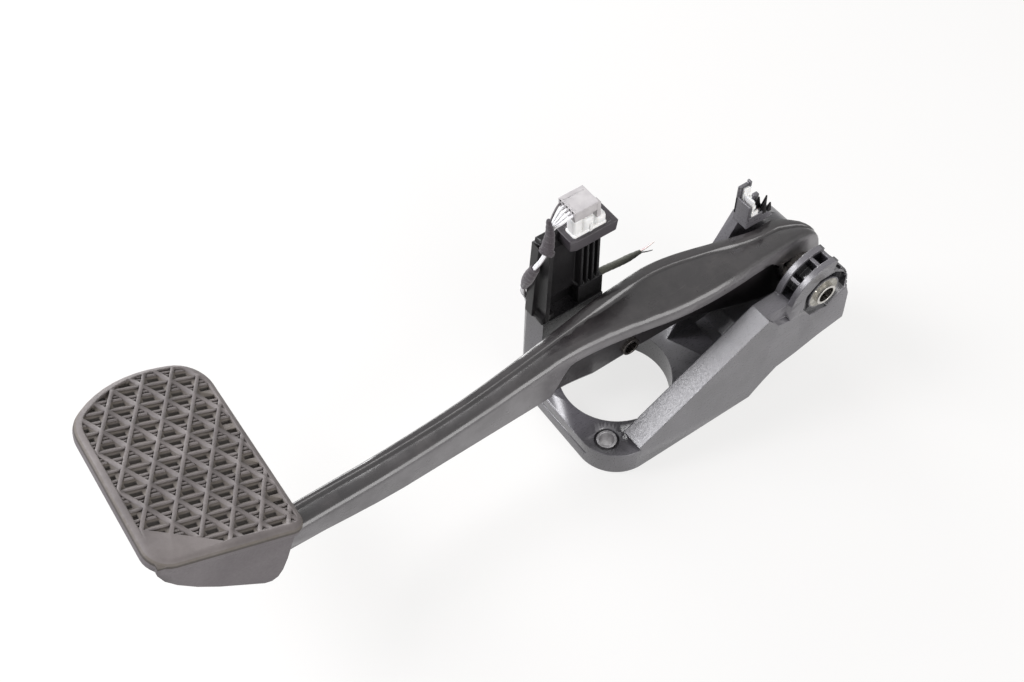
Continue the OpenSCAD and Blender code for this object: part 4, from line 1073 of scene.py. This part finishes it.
# the switch holder's open cup, with its broken-edged right jaw
holderCup = {
    "floor": 96.6,
    "walls": [
        # left, near, right, far, top, rounding
        (81, -5, 82.5, 6, 108.5, 0.3),
        (81, 4.6, 88.6, 6, 116.2, 0.3),
        (81.5, -5, 92.0, -3.9, 99.4, 0.3),
        (92.8, 3.4, 96.4, 6, 103.6, 0.5),
    ],
    "hook": ((87.2, 3.2, 112.5), (88.6, 6, 117.8), 0.4),
    "spikes": [
        # x, y, top, lean
        (93.6, -3.4, 104.6, 0.8),
        (95.6, -1.2, 105.6, 1.4),
        (94.2, 1.6, 103.6, 0.2),
        (97.2, -3.6, 101.6, 1.0),
    ],
    "spikeSides": 5,
    "spikeFoot": 2.0,
    "spikeTip": 0.5,
    "spikeRound": 0.2,
}


def makeHolderCup(c):
    floor = c["floor"]
    low, high, rounding = c["hook"]
    cup = soften(block(low, high), rounding)
    for left, near, right, far, top, rounding in c["walls"]:
        join(cup, soften(block((left, near, floor), (right, far, top)), rounding))
    moulding(cup, "switchCupWalls", "moulded_plastic")
    jaw = bmesh.new()
    for x, y, top, lean in c["spikes"]:
        tall = top - floor
        made = bmesh.ops.create_cone(
            jaw, cap_ends=True, segments=c["spikeSides"], depth=tall,
            radius1=c["spikeFoot"], radius2=c["spikeTip"],
        )
        for v in made["verts"]:
            v.co += Vector((x + lean * (v.co.z / tall + 0.5), y, (top + floor) / 2))
    moulding(soften(jaw, c["spikeRound"]), "switchCupJaw", "post_plastic")


makeHolderCup(holderCup)

# the white insert: a back strip, a head and teeth that rise towards the far side
insertComb = {
    "strip": ((84.0, -4.4, 97.0), (85.2, 4.5, 110.5)),
    "head": ((83.4, 2.9, 106.0), (88.4, 4.5, 114.4)),
    "round": 0.25,
    "headRound": 0.35,
    "teeth": 5,
    "start": -4.6,
    "pitch": 2.0,
    "tooth": 1.1,
    "left": 84.6,
    "right": 88.8,
    "stagger": 0.3,
    "low": 98.5,
    "high": 102.2,
    "rise": 1.9,
}


def makeInsertComb(c):
    comb = join(soften(block(*c["strip"]), c["round"]), soften(block(*c["head"]), c["headRound"]))
    for k in range(c["teeth"]):
        y = c["start"] + c["pitch"] * k
        corner = (c["right"] - c["stagger"] * (k % 2), y + c["tooth"], c["high"] + c["rise"] * k)
        join(comb, soften(block((c["left"], y, c["low"]), corner), c["round"]))
    moulding(comb, "switchInsertComb", "white_nylon", "switch_insert")


makeInsertComb(insertComb)
print("switch holder made")

# ribs on the bearing's outer face, towards the lug
bearingRibs = {
    "first": 14,
    "step": 7.5,
    "count": 6,
    "inner": 15.4,
    "outer": 17.2,
    "thick": 0.9,
    "near": -48.6,
    "far": -37.5,
    "round": 0.2,
}


def makeBearingRibs(r):
    ribs = bmesh.new()
    half = r["thick"] / 2
    for k in range(r["count"]):
        rib = soften(block((r["inner"], r["near"], -half), (r["outer"], r["far"], half)), r["round"])
        turn = Matrix.Rotation(-math.radians(r["first"] + r["step"] * k), 3, "Y")
        bmesh.ops.rotate(rib, verts=rib.verts, cent=(0, 0, 0), matrix=turn)
        bmesh.ops.translate(rib, verts=rib.verts, vec=(pivot[0], 0, pivot[1]))
        join(ribs, rib)
    moulding(ribs, "bearingOuterRibs", "moulded_plastic")


makeBearingRibs(bearingRibs)

# short bars across the tread's cells, laid on the rubber's own floor, in the pad's own frame
treadBars = {
    "startX": -21.6,
    "startY": 1.9,
    "pitchX": 15.2,
    "pitchY": 24.5,
    "rows": 6,
    "columns": 5,
    "offsets": (-8.2, -6.0, 0.0, 6.0, 8.2),
    "floor": -1.5,
    "slack": 0.1,
    "top": -0.45,
    "topRange": (-0.2, 0.15),
    "width": 1.5,
    "widthRange": (0.85, 1.15),
    "outer": 8,  # bars further out than this are narrower
    "outerShare": 0.8,
    "step": 0.4,
    "overlap": 0.2,
    "round": 0.3,
}


def onPad(u, y, h):
    # a point of the pad's own frame, given in mm, in the part's frame in metres
    edge, turn = padSlope["edge"], padSlope["angle"]
    x = edge[0] + (u * math.cos(turn) + h * math.sin(turn)) / 1000
    z = edge[2] + (h * math.cos(turn) - u * math.sin(turn)) / 1000
    return Vector((x, y / 1000, z))


padMesh = bmesh.new()
padMesh.from_mesh(cadNodes["pad_rubber"].data)
padTree = BVHTree.FromBMesh(padMesh)
padMesh.free()


def floorAt(u, y, above=8):
    # the rubber's height there, or 0 beside the pad
    start = onPad(u, y, above)
    hit = padTree.ray_cast(start, (onPad(u, y, 0) - start).normalized())[3]
    return 0 if hit is None else above - hit * 1000


def layBar(bars, t, middle, y, offset):
    # one bar across a cell, where the floor under it runs on without a gap
    reach = int(t["pitchX"] / 2 * (1 - 2 * abs(offset) / t["pitchY"]) / t["step"])
    places = [middle + t["step"] * k for k in range(-reach, reach + 1)]
    flat = [u for u in places if abs(floorAt(u, y) - t["floor"]) < t["slack"]]
    if len(flat) < 3 or max(flat) - min(flat) > t["step"] * len(flat):
        return False
    wide = t["width"] * random.uniform(*t["widthRange"])
    if abs(offset) > t["outer"]:
        wide *= t["outerShare"]
    top = t["top"] + random.uniform(*t["topRange"])
    low = (min(flat) - t["overlap"], y - wide / 2, t["floor"] - t["overlap"])
    bar = soften(block(low, (max(flat) + t["overlap"], y + wide / 2, top)), t["round"], 1)
    for v in bar.verts:
        v.co = onPad(*v.co) * 1000
    join(bars, bar)
    return True


def layTreadBars(t):
    bars = bmesh.new()
    laid = 0
    for i in range(-1, t["columns"] + 1):
        for j in range(-t["rows"], 2):
            for half in (0, 0.5):
                middle = t["startX"] + (j + half) * t["pitchX"]
                for offset in t["offsets"]:
                    y = t["startY"] + (i - 1 + half) * t["pitchY"] + offset
                    laid += layBar(bars, t, middle, y, offset)
    moulding(bars, "treadRungs", "pad_rubber", body="pedal")
    return laid


print("tread bars laid:", layTreadBars(treadBars))
